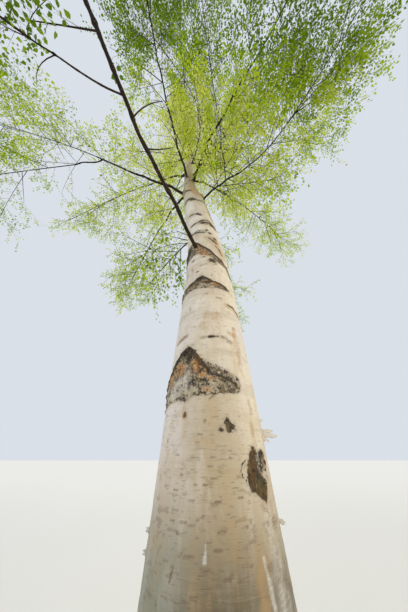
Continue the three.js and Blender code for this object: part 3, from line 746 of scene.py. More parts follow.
# round marks, from the foot up: half width across and half height in millimetres, strength, angle, height
barkSpots = {
    "corkMark": [
        (9, 6, 0.6, 58, 0.768), (4.6, 4.4, 0.65, 10.5, 0.892), (8, 5, 0.75, 14, 0.892),
        (7, 5.6, 0.8, 6.5, 0.893), (10, 7, 0.9, 16.5, 0.9), (6.2, 7, 0.85, 13, 0.908),
        (5.4, 6, 0.8, -30.5, 0.92), (12, 18, 0.9, -100, 0.948), (12, 12, 0.9, -78, 0.95),
        (12, 9, 0.45, -14, 0.972), (5, 4, 0.5, -40, 0.974), (22, 14, 0.45, 18, 0.98),
        (5, 5, 0.6, -37, 0.984), (12, 10, 0.4, 4, 0.986), (10, 8, 0.8, -54, 1.35), (20, 10, 1, -5, 1.36),
        (16, 12, 0.9, -40, 1.368), (24, 14, 1, -22, 1.382), (14, 10, 1, -16, 1.393),
        (5, 5, 0.6, 5, 1.402), (6, 6, 0.75, -27, 1.44), (6, 10, 0.6, -66, 1.44), (8, 14, 0.7, -60, 1.462),
        (5, 8, 0.5, -43, 1.474), (12, 16, 0.85, 12, 1.51), (18, 22, 0.95, 11, 1.512),
        (14, 20, 0.9, 32, 1.534), (9, 12, 0.75, -41, 1.546), (14, 7, 0.7, -10, 1.546),
        (30, 50, 1, -86, 1.605), (16, 38, 0.9, -80, 1.61), (12, 14, 0.85, 36, 1.64),
        (30, 50, 1, -68, 1.645), (18, 42, 1, -58, 1.65), (15, 13, 0.9, 21, 1.706),
        (14, 16, 0.9, 29, 1.738), (12, 10, 0.75, 38, 1.77), (12, 14, 0.9, 16, 1.796),
        (10, 12, 0.8, 8, 1.83),
    ],
    "rustMark": [
        (6, 10, 0.6, 57, 0.846), (5.6, 6.6, 1, -30, 0.919), (9, 6, 0.7, -6, 0.968), (8, 6, 0.6, 10, 0.99),
        (12, 8, 0.7, -1, 0.994), (12, 22, 0.8, -60, 1.006), (14, 14, 0.9, -12, 1.008),
        (17, 18, 1, -44, 1.024), (13, 20, 1, -20, 1.03), (10, 22, 0.7, 37, 1.138),
        (16, 8, 0.95, 9, 1.346), (14, 8, 0.75, -6, 1.362), (14, 18, 0.8, 2, 1.56),
        (20, 28, 0.95, -12, 1.586), (18, 36, 1, -26, 1.64), (18, 14, 0.8, 30, 1.7),
    ],
    "stainMark": [
        (6, 12, 0.9, 42, 0.897), (18, 22, 0.9, 38, 1.088), (16, 20, 0.8, -12, 1.15),
        (26, 20, 1, 3, 1.188), (24, 14, 0.9, -55, 1.34), (30, 20, 0.9, 4, 1.352),
        (12, 20, 0.7, -41, 1.48),
    ],
    "peelMark": [
        (3.4, 2.6, 1, -9, 0.7445), (2.2, 4, 0.9, -8.5, 0.749), (1.6, 6, 0.7, -8, 0.756),
        (4, 12, 0.7, 53, 0.832), (6, 18, 0.9, 48, 0.856), (26, 12, 0.9, -50, 0.968),
        (26, 18, 0.9, -40, 0.988), (10, 10, 0.5, -29, 1.016), (20, 10, 0.8, -52, 1.1),
        (14, 13, 1, -28, 1.234), (20, 12, 0.7, -18, 1.262),
    ],
    "oliveMark": [
        (16, 12, 0.9, 57, 0.768), (26, 14, 0.8, 44, 0.812), (30, 30, 0.6, 38, 0.822),
        (26, 20, 0.9, 36, 0.85), (16, 10, 0.6, 12, 0.898), (18, 10, 0.7, 10, 0.974),
        (16, 14, 0.8, -12, 0.982), (10, 8, 0.9, 26, 1.098), (14, 10, 0.6, 2, 1.192),
        (22, 10, 0.8, 22, 1.338), (22, 12, 0.9, -38, 1.338), (24, 20, 0.9, -32, 1.352),
        (10, 8, 0.7, 4, 1.402), (18, 16, 0.8, 17, 1.5), (24, 30, 0.9, 30, 1.52), (22, 14, 0.9, -8, 1.55),
        (14, 12, 0.5, -31, 1.552), (16, 20, 0.9, -40, 1.61), (20, 18, 0.75, 24, 1.79),
    ],
    "poreMark": [
        (14, 8, 0.9, 56, 0.77), (6, 4, 0.8, 44, 0.772), (2, 3.6, 1, -52, 0.88),
        (2.6, 3, 0.9, -4.5, 0.903), (4, 3.6, 1, -8.5, 0.908), (10, 7, 0.9, 26, 1.099),
    ],
}
# short level pores that show singly: angle, height, half length in millimetres, strength
barkPores = [
    (-59, 0.7, 7, 0.8), (-16, 0.717, 5, 0.9), (-10, 0.722, 11, 0.5), (6, 0.731, 8, 0.8),
    (-38, 0.738, 8, 0.7), (-21, 0.747, 7, 0.7), (0, 0.754, 8, 0.8), (19, 0.756, 7, 0.6),
    (-42, 0.76, 6, 0.6), (-6, 0.761, 8, 0.75), (-28, 0.765, 7, 0.7), (-60, 0.768, 9, 0.6),
    (3, 0.77, 8, 0.7), (20, 0.773, 7, 0.6), (-25, 0.776, 9, 0.7), (-35, 0.777, 5, 0.6), (-8, 0.783, 8, 1),
    (-33, 0.788, 8, 0.6), (-19, 0.799, 6, 0.75), (1, 0.799, 7, 0.75), (19, 0.803, 6, 0.6),
    (-34, 0.811, 7, 0.6), (-47, 0.815, 5, 0.8), (-16, 0.817, 5, 0.6), (-8, 0.818, 6, 0.8),
    (-1, 0.826, 9, 0.8), (-29, 0.828, 5, 0.6), (4, 0.832, 6, 0.6), (-4, 0.84, 7, 0.6),
    (-14, 0.85, 4, 0.8), (22, 0.85, 4, 0.7), (14, 0.852, 5, 0.6), (-1, 0.853, 8, 1), (-35, 0.857, 6, 0.8),
    (-1, 0.862, 8, 0.55), (3, 0.869, 6, 0.6), (-15, 0.873, 6, 0.6), (-13, 0.885, 7, 0.6),
    (26, 0.918, 5, 0.6), (-44, 0.932, 5, 0.7), (-24, 1.15, 8, 0.5), (2, 1.16, 10, 0.5),
    (-20, 1.18, 6, 0.5), (-40, 1.21, 6, 0.6), (-45, 1.23, 7, 0.6), (-12, 1.245, 6, 0.5),
    (22, 1.275, 6, 0.7), (-5, 1.3, 7, 0.7),
]
# where a bough leaves the trunk: a black brow over a swollen collar, with cork inside and rust round it
boughCollar = {"browReach": 0.051, "browDrop": 0.055, "browRise": 0.045, "browWidth": 0.0055, "widest": 75,
               "reach": 0.16, "corkRadius": 0.026, "scarRadius": 0.050, "rustRadius": 0.038, "swell": 0.016}
# older scars all round, none where the photograph shows clean bark
oldScars = {"count": 70, "heights": (0.25, 9.5), "wide": (9, 40), "drop": (0.015, 0.05),
            "cleanAngle": 100, "cleanHeights": (0.45, 1.75), "arches": 0.45, "dashes": 0.30}
# level rings on the upper trunk, where each year's growth ended, low ones only at the back: height, strength
growthRings = {1.905: 0.75, 2.03: 0.8, 2.17: 0.6, 2.34: 0.7, 2.54: 0.95, 2.72: 0.7, 2.86: 0.85, 3.05: 0.7,
               3.3: 0.8, 3.7: 0.8, 4.2: 0.8, 4.9: 0.8, 5.6: 0.8, 6.5: 0.7, 7.5: 0.7}
backOnlyBelow = 3

front = np.arange(-trunkMesh["frontHalf"], trunkMesh["frontHalf"], trunkMesh["frontStep"])
back = np.arange(trunkMesh["frontHalf"], 360 - trunkMesh["frontHalf"], trunkMesh["backStep"])
ringAngles = np.concatenate([front, back])
ringHeights = [np.linspace(low, high, count, endpoint=False) for low, high, count in trunkMesh["rings"]]
ringHeights = np.concatenate(ringHeights + [[trunkHeight]]).round(5)
barkAngle = np.tile(ringAngles, len(ringHeights))
barkHeight = np.repeat(ringHeights, len(ringAngles))
barkCompass = np.radians(barkAngle - 90)
barkRadius = trunkRadius(barkHeight, barkCompass)
barkAround = np.column_stack([np.cos(barkCompass), np.sin(barkCompass)])
barkPlace = np.column_stack([barkAround * (trunkValue(barkHeight, 3) / 2)[:, None], barkHeight])
edgedMarks = ("corkMark", "scarMark")
softMarks = ("rustMark", "stainMark", "peelMark", "oliveMark", "poreMark")
unmarked = -3.0  # an edged mark far outside its edge, which is at 0
marks = {key: np.full(len(barkAngle), unmarked) for key in edgedMarks}
marks.update({key: np.zeros(len(barkAngle)) for key in softMarks})
proud = np.zeros(len(barkAngle))  # how far the relief stands out of the plain trunk
heightSamples = np.linspace(0, trunkHeight, 200)
radiusSamples = trunkValue(heightSamples, 3) / 2


# The distance in metres over the bark from points to a row of points, and to the inside of it if closed.
def barkDistance(rows, path, closed=False):
    angles, heights = barkAngle[rows], barkHeight[rows]
    path = np.array(path, dtype=float)
    middle = (path[:, 0].min() + path[:, 0].max()) / 2
    perDegree = math.radians(np.interp(path[:, 1].mean(), heightSamples, radiusSamples))
    x = ((angles - middle + 180) % 360 - 180) * perDegree
    corners = np.column_stack([(path[:, 0] - middle) * perDegree, path[:, 1]])
    nearest = np.full(len(x), np.inf)
    inside = np.zeros(len(x), dtype=bool)
    for i in range(len(corners) if closed else len(corners) - 1):
        (ax, ay), (bx, by) = corners[i], corners[(i + 1) % len(corners)]
        squared = (bx - ax) ** 2 + (by - ay) ** 2
        t = np.clip(((x - ax) * (bx - ax) + (heights - ay) * (by - ay)) / squared, 0, 1)
        nearest = np.minimum(nearest, np.hypot(x - ax - t * (bx - ax), heights - ay - t * (by - ay)))
        if closed and ay != by:
            crosses = (ay > heights) != (by > heights)
            inside ^= crosses & (x < (bx - ax) * (heights - ay) / (by - ay) + ax)
    return np.where(inside, -nearest, nearest) if closed else nearest


def rowsBetween(low, high):
    return np.nonzero((barkHeight > low) & (barkHeight < high))[0]


# The way round the bark in metres from an angle.
def wayRound(rows, middle):
    return ((barkAngle[rows] - middle + 180) % 360 - 180) * np.radians(barkRadius[rows])


# Paints a mark by a share that is 1 in its middle, 0 at its edge and less outside.
def paint(kind, rows, share, strength=1.0):
    if kind in edgedMarks:
        values = np.clip(share, unmarked, 2) - 1.6 * (1 - strength)
    else:
        values = strength * smooth(-0.9, 0.7, share)
    marks[kind][rows] = np.maximum(marks[kind][rows], values)


def paintStroke(kind, halfWidth, strength, path, raised=0.0):
    rows = rowsBetween(min(p[1] for p in path) - 0.06, max(p[1] for p in path) + 0.06)
    away = barkDistance(rows, path)
    paint(kind, rows, 1 - away / halfWidth, strength)
    proud[rows] += raised * smooth(2.0 * halfWidth, 0, away)


def paintScar(outline, rim, rimWidth, rough):
    rows = rowsBetween(min(p[1] for p in outline) - 0.03, max(p[1] for p in outline) + 0.03)
    depth = -barkDistance(rows, outline, True)
    paint("scarMark", rows, depth / 0.0045)
    cracks = roughNoise(barkPlace[rows] * (150, 150, 45), 5)
    lumps = roughNoise(barkPlace[rows] * 90, 8)
    within = smooth(-0.003, 0.004, depth)
    proud[rows] += within * rough * ((cracks - 0.5) * 1.6 + (lumps - 0.5) * 1.2 + 0.1)
    paintStroke("corkMark", rimWidth, 1.0, rim, rough * 0.7)
    return rows, depth


def paintShownMarks():
    for name, scar in scars.items():
        rows, depth = paintScar(**scar)
        if name == "wound":  # torn down to dark upright strands
            place = barkPlace[rows]
            strands = 0.6 * noise(place * (230, 230, 38), 21) + 0.4 * noise(place * (90, 90, 60), 22)
            paint("corkMark", rows, np.minimum(depth / 0.004, 2.6 - 4.6 * strands))
            proud[rows] -= 0.004 * smooth(0.0, 0.006, depth)
    for kind, strokes in barkStrokes.items():
        for halfWidth, strength, *path in strokes:
            paintStroke(kind, halfWidth / 1000, strength, path, -0.0012 if kind == "corkMark" else 0.0)
    for kind, spots in barkSpots.items():
        for across, tall, strength, angle, height in spots:
            across, tall = across / 1000, tall / 1000
            rows = rowsBetween(height - 4 * tall, height + 4 * tall)
            away = np.hypot(wayRound(rows, angle) / across, (barkHeight[rows] - height) / tall)
            paint(kind, rows, 1 - away, strength)
    for angle, height, halfLength, strength in barkPores:
        span = math.degrees(halfLength / 1000 / 0.118) * 0.6
        paintStroke("poreMark", 0.0019, 0.5 + 0.5 * strength,
                    [(angle - span, height), (angle + span, height)], 0.0006)


def paintCollars(draw):
    look = boughCollar
    for name, (path, radii, compass, rise, massLength, parent) in boughs.items():
        if parent is not None or name == "low_front_bough":
            continue
        outwards = path[1] - path[0]
        local = np.interp(path[0][2], heightSamples, radiusSamples)
        height = (path[0] + outwards * local / np.hypot(outwards[0], outwards[1]))[2]
        angle = math.degrees(math.atan2(outwards[1], outwards[0])) + 90
        wide = min(math.degrees(look["browReach"] / local), look["widest"])
        drop = look["browDrop"] * draw.uniform(0.8, 1.3)
        brow = [(angle - wide, height - drop), (angle - wide * 0.5, height + 0.008),
                (angle, height + look["browRise"]), (angle + wide * 0.5, height + 0.004),
                (angle + wide, height - drop * draw.uniform(0.8, 1.2))]
        paintStroke("corkMark", look["browWidth"], 1.0, brow, 0.0015)
        rows = rowsBetween(height - look["reach"], height + look["reach"])
        away = np.hypot(wayRound(rows, angle), (barkHeight[rows] - height) * 0.75)
        paint("corkMark", rows, 1 - away / look["corkRadius"])
        paint("scarMark", rows, (look["scarRadius"] - away) / 0.006, 0.9)
        paint("rustMark", rows, 1 - np.abs(away - look["rustRadius"]) / 0.012, 0.8)
        proud[rows] += look["swell"] * smooth(0.06, 0.0, away)


def paintOldScars(draw):
    look = oldScars
    for _ in range(look["count"]):
        height = mix(*look["heights"], draw.random() ** 1.35)
        angle = draw.uniform(-180, 180)
        wide = draw.uniform(*look["wide"])
        kind = draw.random()
        cleanLow, cleanHigh = look["cleanHeights"]
        if abs(angle) < look["cleanAngle"] + wide and cleanLow < height < cleanHigh:
            continue
        drop = draw.uniform(*look["drop"]) * min(1, wide / 25)
        if kind < look["arches"]:
            arch = [(-1, 1), (-0.4, 0.2), (0, 0), (0.5, 0.3), (1, 1)]
            paintStroke("corkMark", draw.uniform(0.003, 0.006), 1.0,
                        [(angle + wide * x, height - drop * down) for x, down in arch], 0.002)
        elif kind < look["arches"] + look["dashes"]:
            paintStroke("corkMark", draw.uniform(0.0025, 0.005), 0.9,
                        [(angle - wide * 0.6, height), (angle + wide * 0.6, height + 0.004)])
        else:
            paintStroke("corkMark", 0.010, 1.0, [(angle - 3, height), (angle + 3, height)], 0.003)
            paintStroke("scarMark", 0.020, 0.9,
                        [(angle - 4, height - 0.006), (angle + 4, height - 0.004)], 0.002)


def paintRings():
    for height, strength in growthRings.items():
        rows = rowsBetween(height - 0.05, height + 0.05)
        wave = height + 0.012 * np.sin(np.radians(barkAngle[rows]) * 2 + height * 9)
        broken = noise(np.column_stack([barkAround[rows] * 1.8, np.full(len(rows), height * 7)]), 31)
        away = np.abs(barkHeight[rows] - wave)
        if height < backOnlyBelow:
            away = away + smooth(100, 80, np.abs((barkAngle[rows] + 180) % 360 - 180))
        paint("corkMark", rows, 1 - away / 0.0055 - 2.5 * smooth(0.62, 0.35, broken), strength)
        paint("stainMark", rows, 1 - away / 0.010, 0.8)
        proud[rows] += 0.0022 * smooth(0.012, 0.0, away)


# The run of the bark: long swells, level sheets and rough grey bark at the foot.
def shapeSheets():
    swell = roughNoise(barkPlace * (7, 7, 2.4), 41) - 0.5
    sheets = noise(barkPlace * (14, 14, 130), 43) - 0.5
    foot = smooth(0.34, 0.05, barkHeight)
    furrows = roughNoise(barkPlace * (75, 75, 14), 47) - 0.5
    scale = np.clip(barkRadius / 0.12, 0.15, 1)
    proud[:] += scale * (0.0045 * swell + 0.0009 * sheets) + foot * 0.010 * furrows
    everywhere = np.arange(len(barkAngle))
    paint("corkMark", everywhere, 3.0 * foot - 2.2 - 3.0 * furrows)
    paint("scarMark", everywhere, 3.2 * foot - 1.6)


def makeTrunk():
    paintShownMarks()
    draw = np.random.default_rng(11)
    paintCollars(draw)
    paintOldScars(draw)
    paintRings()
    shapeSheets()
    centre = np.column_stack([trunkValue(barkHeight, 1), trunkValue(barkHeight, 2)])
    vertices = np.column_stack([centre + barkAround * (barkRadius + proud)[:, None], barkHeight])
    vertices = np.concatenate([vertices, [trunkCentre(0), trunkCentre(trunkHeight)]])
    attributes = {key: np.append(values, [0, 0]) for key, values in marks.items()}
    attributes["barkPlace"] = np.concatenate([barkPlace, [[0, 0, 0], [0, 0, trunkHeight]]])
    triangles = tubeTriangles(len(ringHeights), len(ringAngles))
    piece = meshObject("trunk_bark", vertices, triangles, [barkMaterial], attributes=attributes)
    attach(piece, "root")
    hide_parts("trunk")
    return piece


trunkPiece = makeTrunk()
report(f"trunk: {len(trunkPiece.data.polygons)} faces")


# Curls of loose bark that stand off the trunk, each a thin closed strip that leaves the bark and rolls over
curlLook = {"steps": 10, "across": 4, "turn": 2.2, "thick": 0.0006, "cup": 0.003}
# angle, height, width, length off the bark, how far it rolls over, and its lift
barkCurls = [
    (70, 0.892, 0.0064, 0.032, 0.1, -0.1), (71, 0.899, 0.0046, 0.026, 0.3, 0),
    (69, 0.885, 0.004, 0.014, 0.5, -0.4), (66, 0.918, 0.003, 0.009, 0.4, 0.1),
    (72, 0.766, 0.004, 0.012, 0.4, -0.3), (-80, 0.752, 0.004, 0.007, 0.5, 0.1),
    (-80, 0.728, 0.004, 0.007, 0.6, -0.1), (120, 1.1, 0.012, 0.018, 1.2, 0.2),
    (150, 0.86, 0.016, 0.016, 1.4, 0.1), (-130, 1.22, 0.014, 0.018, 1.1, 0.2),
    (-160, 0.95, 0.016, 0.014, 1.3, 0.2), (175, 1.46, 0.012, 0.014, 1.3, 0.2),
    (100, 1.62, 0.01, 0.013, 1.1, 0.3), (-150, 2.05, 0.012, 0.014, 1.2, 0.2),
    (140, 2.36, 0.01, 0.012, 1.2, 0.2),
]


def makeCurls():
    look = curlLook
    steps, across, thick = look["steps"], look["across"], look["thick"]
    row = 2 * (across + 1)
    order = [*range(across + 1), *range(row - 1, across, -1)]
    vertices, faces = [], []
    for angle, height, width, length, roll, lift in barkCurls:
        compass = math.radians(angle - 90)
        outwards = np.array([math.cos(compass), math.sin(compass), 0])
        tangent = np.array([-math.sin(compass), math.cos(compass), 0])
        skin = trunkCentre(height) + outwards * trunkRadius(height, compass)
        base, turn = len(vertices), roll * look["turn"]
        for t in np.linspace(0, 1, steps + 1):
            forwards, sideways = math.sin(turn * t) / turn, (1 - math.cos(turn * t)) / turn
            spine = skin + (outwards * forwards + tangent * sideways * math.copysign(1, angle)) * length
            spine = spine + (0, 0, lift * length * t)
            half = width * mix(1.0, 0.4, t) * (1 + 0.22 * math.sin(11 * t + angle))
            for inwards in (0, thick):
                for u in np.linspace(-1, 1, across + 1):
                    cupped = look["cup"] * (u * u - 0.5) * t
                    point = spine + (0, 0, u * half) + outwards * (cupped - inwards)
                    vertices.append(point - tangent * inwards)
        for i in range(steps):
            ring = base + i * row
            faces += [(ring + a, ring + b, ring + row + b, ring + row + a)
                      for a, b in zip(order, order[1:] + order[:1])]
        tip = base + steps * row
        faces += [(tip + j, tip + j + 1, tip + across + 2 + j, tip + across + 1 + j) for j in range(across)]
    vertices = np.array(vertices)
    height = vertices[:, 2]
    offset = vertices[:, :2] - np.column_stack([trunkValue(height, 1), trunkValue(height, 2)])
    attributes = {"barkPlace": np.column_stack([offset, height]), "peelMark": np.full(len(vertices), 0.9),
                  "corkMark": np.full(len(vertices), unmarked), "scarMark": np.full(len(vertices), unmarked)}
    piece = meshObject("loose_bark_curls", vertices, np.array(faces), [barkMaterial], attributes=attributes)
    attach(piece, "root")


makeCurls()
report("bark curls")


# Boughs: each a tapering tube with knots, a swollen foot and slight kinks, along the frame's path
boughLook = {"sides": 12, "steps": 96, "footSwell": 1.25, "footFade": 0.06, "knotEvery": 0.11,
             "knotSwell": 0.20, "kink": 0.012, "wander": 0.030, "rough": 0.35, "shade": 0.3}
straightBoughs = {"low_left_bough": 0.25, "low_front_bough": 0.7}  # share of the wander and kinks
# share of the frame's radius at each end, where the photograph shows another thickness
boughSlimness = {"low_front_bough": (0.74, 0.92), "low_left_bough": (0.52, 0.50), "right_bough": (0.65, 0.90),
                 "right_upright_bough": (0.55, 0.60), "high_front_bough": (0.85, 0.80)}
# single knots: bough, share of the way along, swelling, half length in metres
boughKnots = [("low_front_bough", 0.675, 0.55, 0.014), ("low_front_bough", 0.565, 0.30, 0.010),
              ("low_front_bough", 0.365, 0.25, 0.012), ("low_front_bough", 0.245, 0.25, 0.014),
              ("low_front_bough", 0.445, 0.22, 0.010), ("low_left_bough", 0.74, 0.5, 0.008)]


# A smooth path through a bough's points, by the same kind of curve as the trunk's.
def smoothPath(points, shares):
    count = len(points) - 1
    step = np.clip((shares * count).astype(int), 0, count - 1)
    t = (shares * count - step)[:, None]
    slopes = np.array([points[min(i + 1, count)] - points[max(i - 1, 0)] for i in range(count + 1)]) * 0.5
    slopes[0] *= 2
    slopes[-1] *= 2
    return (points[step] * (1 + 2 * t) * (1 - t) ** 2 + points[step + 1] * t * t * (3 - 2 * t)
            + t * (1 - t) ** 2 * slopes[step] - t * t * (1 - t) * slopes[step + 1])


# Two directions square to a path and to each other at each of its points, with no twist between them.
def tubeFrames(points):
    tangents = unit(np.gradient(points, axis=0))
    across = [unit(np.cross((0.37, 0.61, 0.7), tangents[0]))]
    for tangent in tangents:
        across.append(unit(across[-1] - tangent * np.dot(across[-1], tangent)))
    across = np.array(across[1:])
    return across, np.cross(across, tangents)


# A smooth random way off in X, Y and Z, from -0.5 to 0.5 each.
def strayed(along, apart, seed):
    flat = along * 0
    return np.column_stack([noise(np.column_stack([along + apart * k, flat, flat]), seed + k)
                            for k in range(3)]) - 0.5


def makeBoughs():
    look = boughLook
    sides = look["sides"]
    draw = np.random.default_rng(5)
    shares = np.linspace(0, 1, look["steps"])
    turn = (np.arange(sides) * 2 * math.pi / sides)[:, None]
    made = 0
    for name, (path, radii, compass, rise, massLength, parent) in boughs.items():
        length = np.linalg.norm(np.diff(path, axis=0), axis=1).sum()
        along = shares * length
        calm = straightBoughs.get(name, 1)
        points = smoothPath(path, shares)
        points += strayed(along * 3, 7, 60) * (look["wander"] * calm * (shares * (1 - shares) * 4)[:, None])
        startAway, swell = (0.1, 1.0) if parent is None else (0.01, 0.45)
        slimness = boughSlimness.get(name, (1, 1))
        radius = mix(radii[0] * slimness[0], radii[1] * slimness[1], shares)
        fade = np.exp(-np.maximum(along - startAway, 0) / look["footFade"])
        radius = radius * (1 + (look["footSwell"] - 1) * fade * swell)
        phase = draw.random()
        knots = np.exp(-(((along / look["knotEvery"] + phase) % 1 - 0.5) * 9) ** 2)
        radius = radius * (1 + look["knotSwell"] * knots * draw.uniform(0.6, 1.2, len(shares)))
        for bough, share, swelling, halfLength in boughKnots:
            if bough == name:
                radius = radius * (1 + swelling * np.exp(-((shares - share) * length / halfLength) ** 2))
        inside = np.clip(shares * (1 - shares) * 12, 0, 1)[:, None]
        points += strayed(along * 9, 5, 80) * look["kink"] * calm * inside
        across, front = tubeFrames(points)
        outline = np.cos(turn) * across[:, None] + np.sin(turn) * front[:, None]
        vertices = (points[:, None] + outline * radius[:, None, None]).reshape(-1, 3)
        centres = np.repeat(points, sides, axis=0)
        vertices += (vertices - centres) * (roughNoise(vertices * 60, 71)[:, None] - 0.5) * look["rough"]
        vertices = np.concatenate([vertices, points[[0, -1]]])
        # painted shade: the low boughs' bark darkens outwards from pale brown at its foot
        outwards = np.append(np.repeat(shares, sides), [0, 1])
        shade = np.full(len(outwards), look["shade"])
        if name in straightBoughs:
            shade = 0.85 * smooth(0.15, 0.95, outwards)
        triangles = tubeTriangles(len(points), sides)
        piece = meshObject(name + "_bark", vertices, triangles, [boughMaterial], attributes={"shade": shade})
        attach(piece, "root")
        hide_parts(name)
        made += len(triangles)
    return made


report(f"boughs: {makeBoughs()} faces")


# The crown: side twigs, finer twigs and leaves, each level grown from the one before
crown = {
    "boughTwigFrom": 0.28,  # share of a bough that bears no twigs, for those that are not in bareUpTo
    "branchSkin": 1.15,  # how far branches may leave their mass's space, which ends at 1
    "bend": 0.05,
    "leavesPerMetre": {"branches": 42 * 0.55, "sprouts": 42, "spur": 180},
    "leafLength": (0.030, 0.046), "leafWidth": 0.80, "stalk": 0.30,
    "fullFrom": 0.55,  # how far out in a mass all its leaves are there
    "clearOfCamera": 1.0,  # no leaf is nearer to the camera
}
# how twigs grow on their parents: number per metre or for each parent, length, lean off the parent in degrees,
# share of the parent below the first one, droop, and the shortest that is kept
twigKinds = {
    "moreSides": {"perMetre": 0, "count": 10, "lengths": (0.40, 1.05), "leans": (40, 66), "firstAt": 0.10,
                  "droop": 0.05, "shortest": 0.15},
    "boughTwigs": {"perMetre": 7, "lengths": (0.30, 0.75), "leans": (35, 70), "firstAt": 0.0, "droop": 0.06,
                   "shortest": 0.12, "skin": None},
    "branches": {"perMetre": 11, "lengths": (0.22, 0.50), "leans": (36, 68), "droop": 0.16, "shortest": 0.08},
    "sprouts": {"perMetre": 12, "lengths": (0.08, 0.24), "leans": (35, 72), "firstAt": 0.12,
                "droop": 0.16 * 1.4, "shortest": 0.04, "skin": None},
    "cornerSprouts": {"perMetre": 55, "lengths": (0.05, 0.14), "leans": (40, 85), "firstAt": 0.1,
                      "droop": 0.6, "shortest": 0.03, "skin": None},
}
# share of twigs, of leaves on a twig, of a leaf's size and of a twig's thickness in each mass, and of its
# leaves that stay near its foot. The left is thin, where the photograph shows sky, and leaves near the ground
# are small as they come out last.
fullness = {
    "low_front": (1.0, 0.8, 0.65, 0.8, 1.0), "low_left": (1.0, 1.0, 0.60, 0.5, 1.0),
    "low_twig": (1.0, 0.8, 0.55, 0.6, 1.0), "right": (1.9, 1.1, 0.68, 0.9, 0.55),
    "left": (1.3, 1.1, 0.60, 0.6, 0.8), "left_outer": (1.5, 1.1, 0.60, 0.6, 1.0),
    "left_back": (1.0, 0.9, 0.85, 1.0, 0.5), "back_left": (1.0, 0.9, 0.90, 1.0, 0.5),
    "front_right": (1.45, 1.15, 0.72, 0.8, 0.8), "right_upright": (1.1, 0.9, 0.75, 0.6, 0.8),
    "back_right": (1.0, 0.8, 0.90, 1.0, 0.5), "front": (1.5, 1.15, 0.78, 1.0, 0.9),
    "high_front": (0.95, 0.8, 0.80, 0.9, 0.8), "back": (1.0, 0.9, 0.90, 1.0, 0.5),
    "spiral_1": (0.7, 0.7, 0.80, 1.0, 0.3), "spiral_2": (0.8, 0.8, 0.85, 1.0, 0.7),
    "spiral_4": (0.7, 0.60, 0.85, 1.0, 0.25), "inner_1": (0.55, 0.5, 0.70, 1.0, 0.2),
    "inner_2": (0.65, 0.5, 0.80, 1.0, 0.25), "inner_3": (0.55, 0.45, 0.80, 1.0, 0.25),
}
usualFullness = (0.85, 0.70, 1.05, 1.0, 0.45)
# gaps that the camera sees sky through: compass, rise and half width in degrees
skyGaps = [(198, 67.6, 5.5), (164, 56.5, 5.5), (162, 46, 4.5), (3, 55.5, 3.5), (205, 79.3, 3.0),
           (174, 77.5, 2.2)]
gapShare = 0.8  # of the twigs in a gap that are left out
# twigs that the photograph shows: bough, share of the way along it, and from there to the twig's knee and end
shownTwigs = {
    "leafy": [
        ("low_front_bough", 0.65, (-0.183, -0.030, 0.086), (-0.348, -0.047, 0.106)),
        ("low_left_bough", 1.0, (-0.031, -0.070, 0.098), (0.062, -0.136, 0.216)),
        ("low_left_bough", 1.0, (-0.111, -0.028, 0.066), (-0.207, -0.074, 0.117)),
    ],
    "bare": [
        ("low_left_bough", 0.74, (-0.146, 0.011, 0.067), (-0.182, 0.074, 0.086)),
        ("low_front_bough", 0.445, (0.029, -0.053, 0.162), (0.107, -0.060, 0.318)),
        ("low_front_bough", 0.365, (0.032, 0.016, 0.082), (0.107, 0.012, 0.206)),
    ],
    "spur": [("low_front_bough", 0.565, (0.012, 0.008, 0.017), (0.007, 0.019, 0.034))],
    "long": [
        ("front_bough", 0.75, (-0.411, -0.226, 0.358), (-0.873, -0.385, 0.609)),
        ("front_bough", 0.95, (-0.382, -0.225, 0.364), (-0.749, -0.348, 0.500)),
    ],
}
# limbs that the photograph shows: most leaves in front of them, within this angle, are left out
shownLimbs = ["low_front", "low_left", "right", "right_upright", "front", "high_front", "left", "left_outer"]
limbClear = {"halfWidth": 1.0, "share": 0.85, "points": 70}
bareUpTo = {"low_front_bough": 0.85, "low_left_bough": 1.0}  # share of a bough that bears no twigs
groups = {
    "low_front": ["low_front_foliage", "low_left_foliage", "low_twig_foliage"],
    "right": ["right_foliage", "back_foliage"],
    "front": ["front_foliage", "front_right_foliage", "right_upright_foliage"],
    "left": ["left_foliage", "left_outer_foliage", "back_left_foliage", "left_back_foliage"],
    "middle": ["back_right_foliage", "high_front_foliage", "inner_foliage_1", "inner_foliage_2",
               "inner_foliage_3"],
    "upper": ["spiral_foliage_1", "spiral_foliage_2", "spiral_foliage_3", "spiral_foliage_4",
              "inner_foliage_4", "inner_foliage_5"],
    "top": ["spiral_foliage_5", "spiral_foliage_6", "spiral_foliage_7", "spiral_foliage_8",
            "spiral_foliage_9", "inner_foliage_6", "inner_foliage_7", "inner_foliage_8", "top_foliage"],
}
massFullness = np.array([fullness.get(m["name"].replace("_foliage", ""), usualFullness) for m in masses])
massGroup = np.array([[m["name"] in names for names in groups.values()].index(True) for m in masses])


def twigArrays(twigs):
    start, knee, end, owner = zip(*twigs)
    return {"start": np.array(start), "knee": np.array(knee), "end": np.array(end), "owner": np.array(owner)}


def twigPoint(twigs, share):
    return bezier(twigs["start"], twigs["knee"], twigs["end"], share[:, None])


def twigTangent(twigs, share):
    share = share[:, None]
    return unit((twigs["knee"] - twigs["start"]) * (1 - share) + (twigs["end"] - twigs["knee"]) * share)


def twigLength(twigs):
    return np.linalg.norm(twigs["end"] - twigs["start"], axis=1)


def joined(*sets):
    return {key: np.concatenate([s[key] for s in sets]) for key in sets[0]}


def chosen(twigs, keep):
    return {key: value[keep] for key, value in twigs.items()}


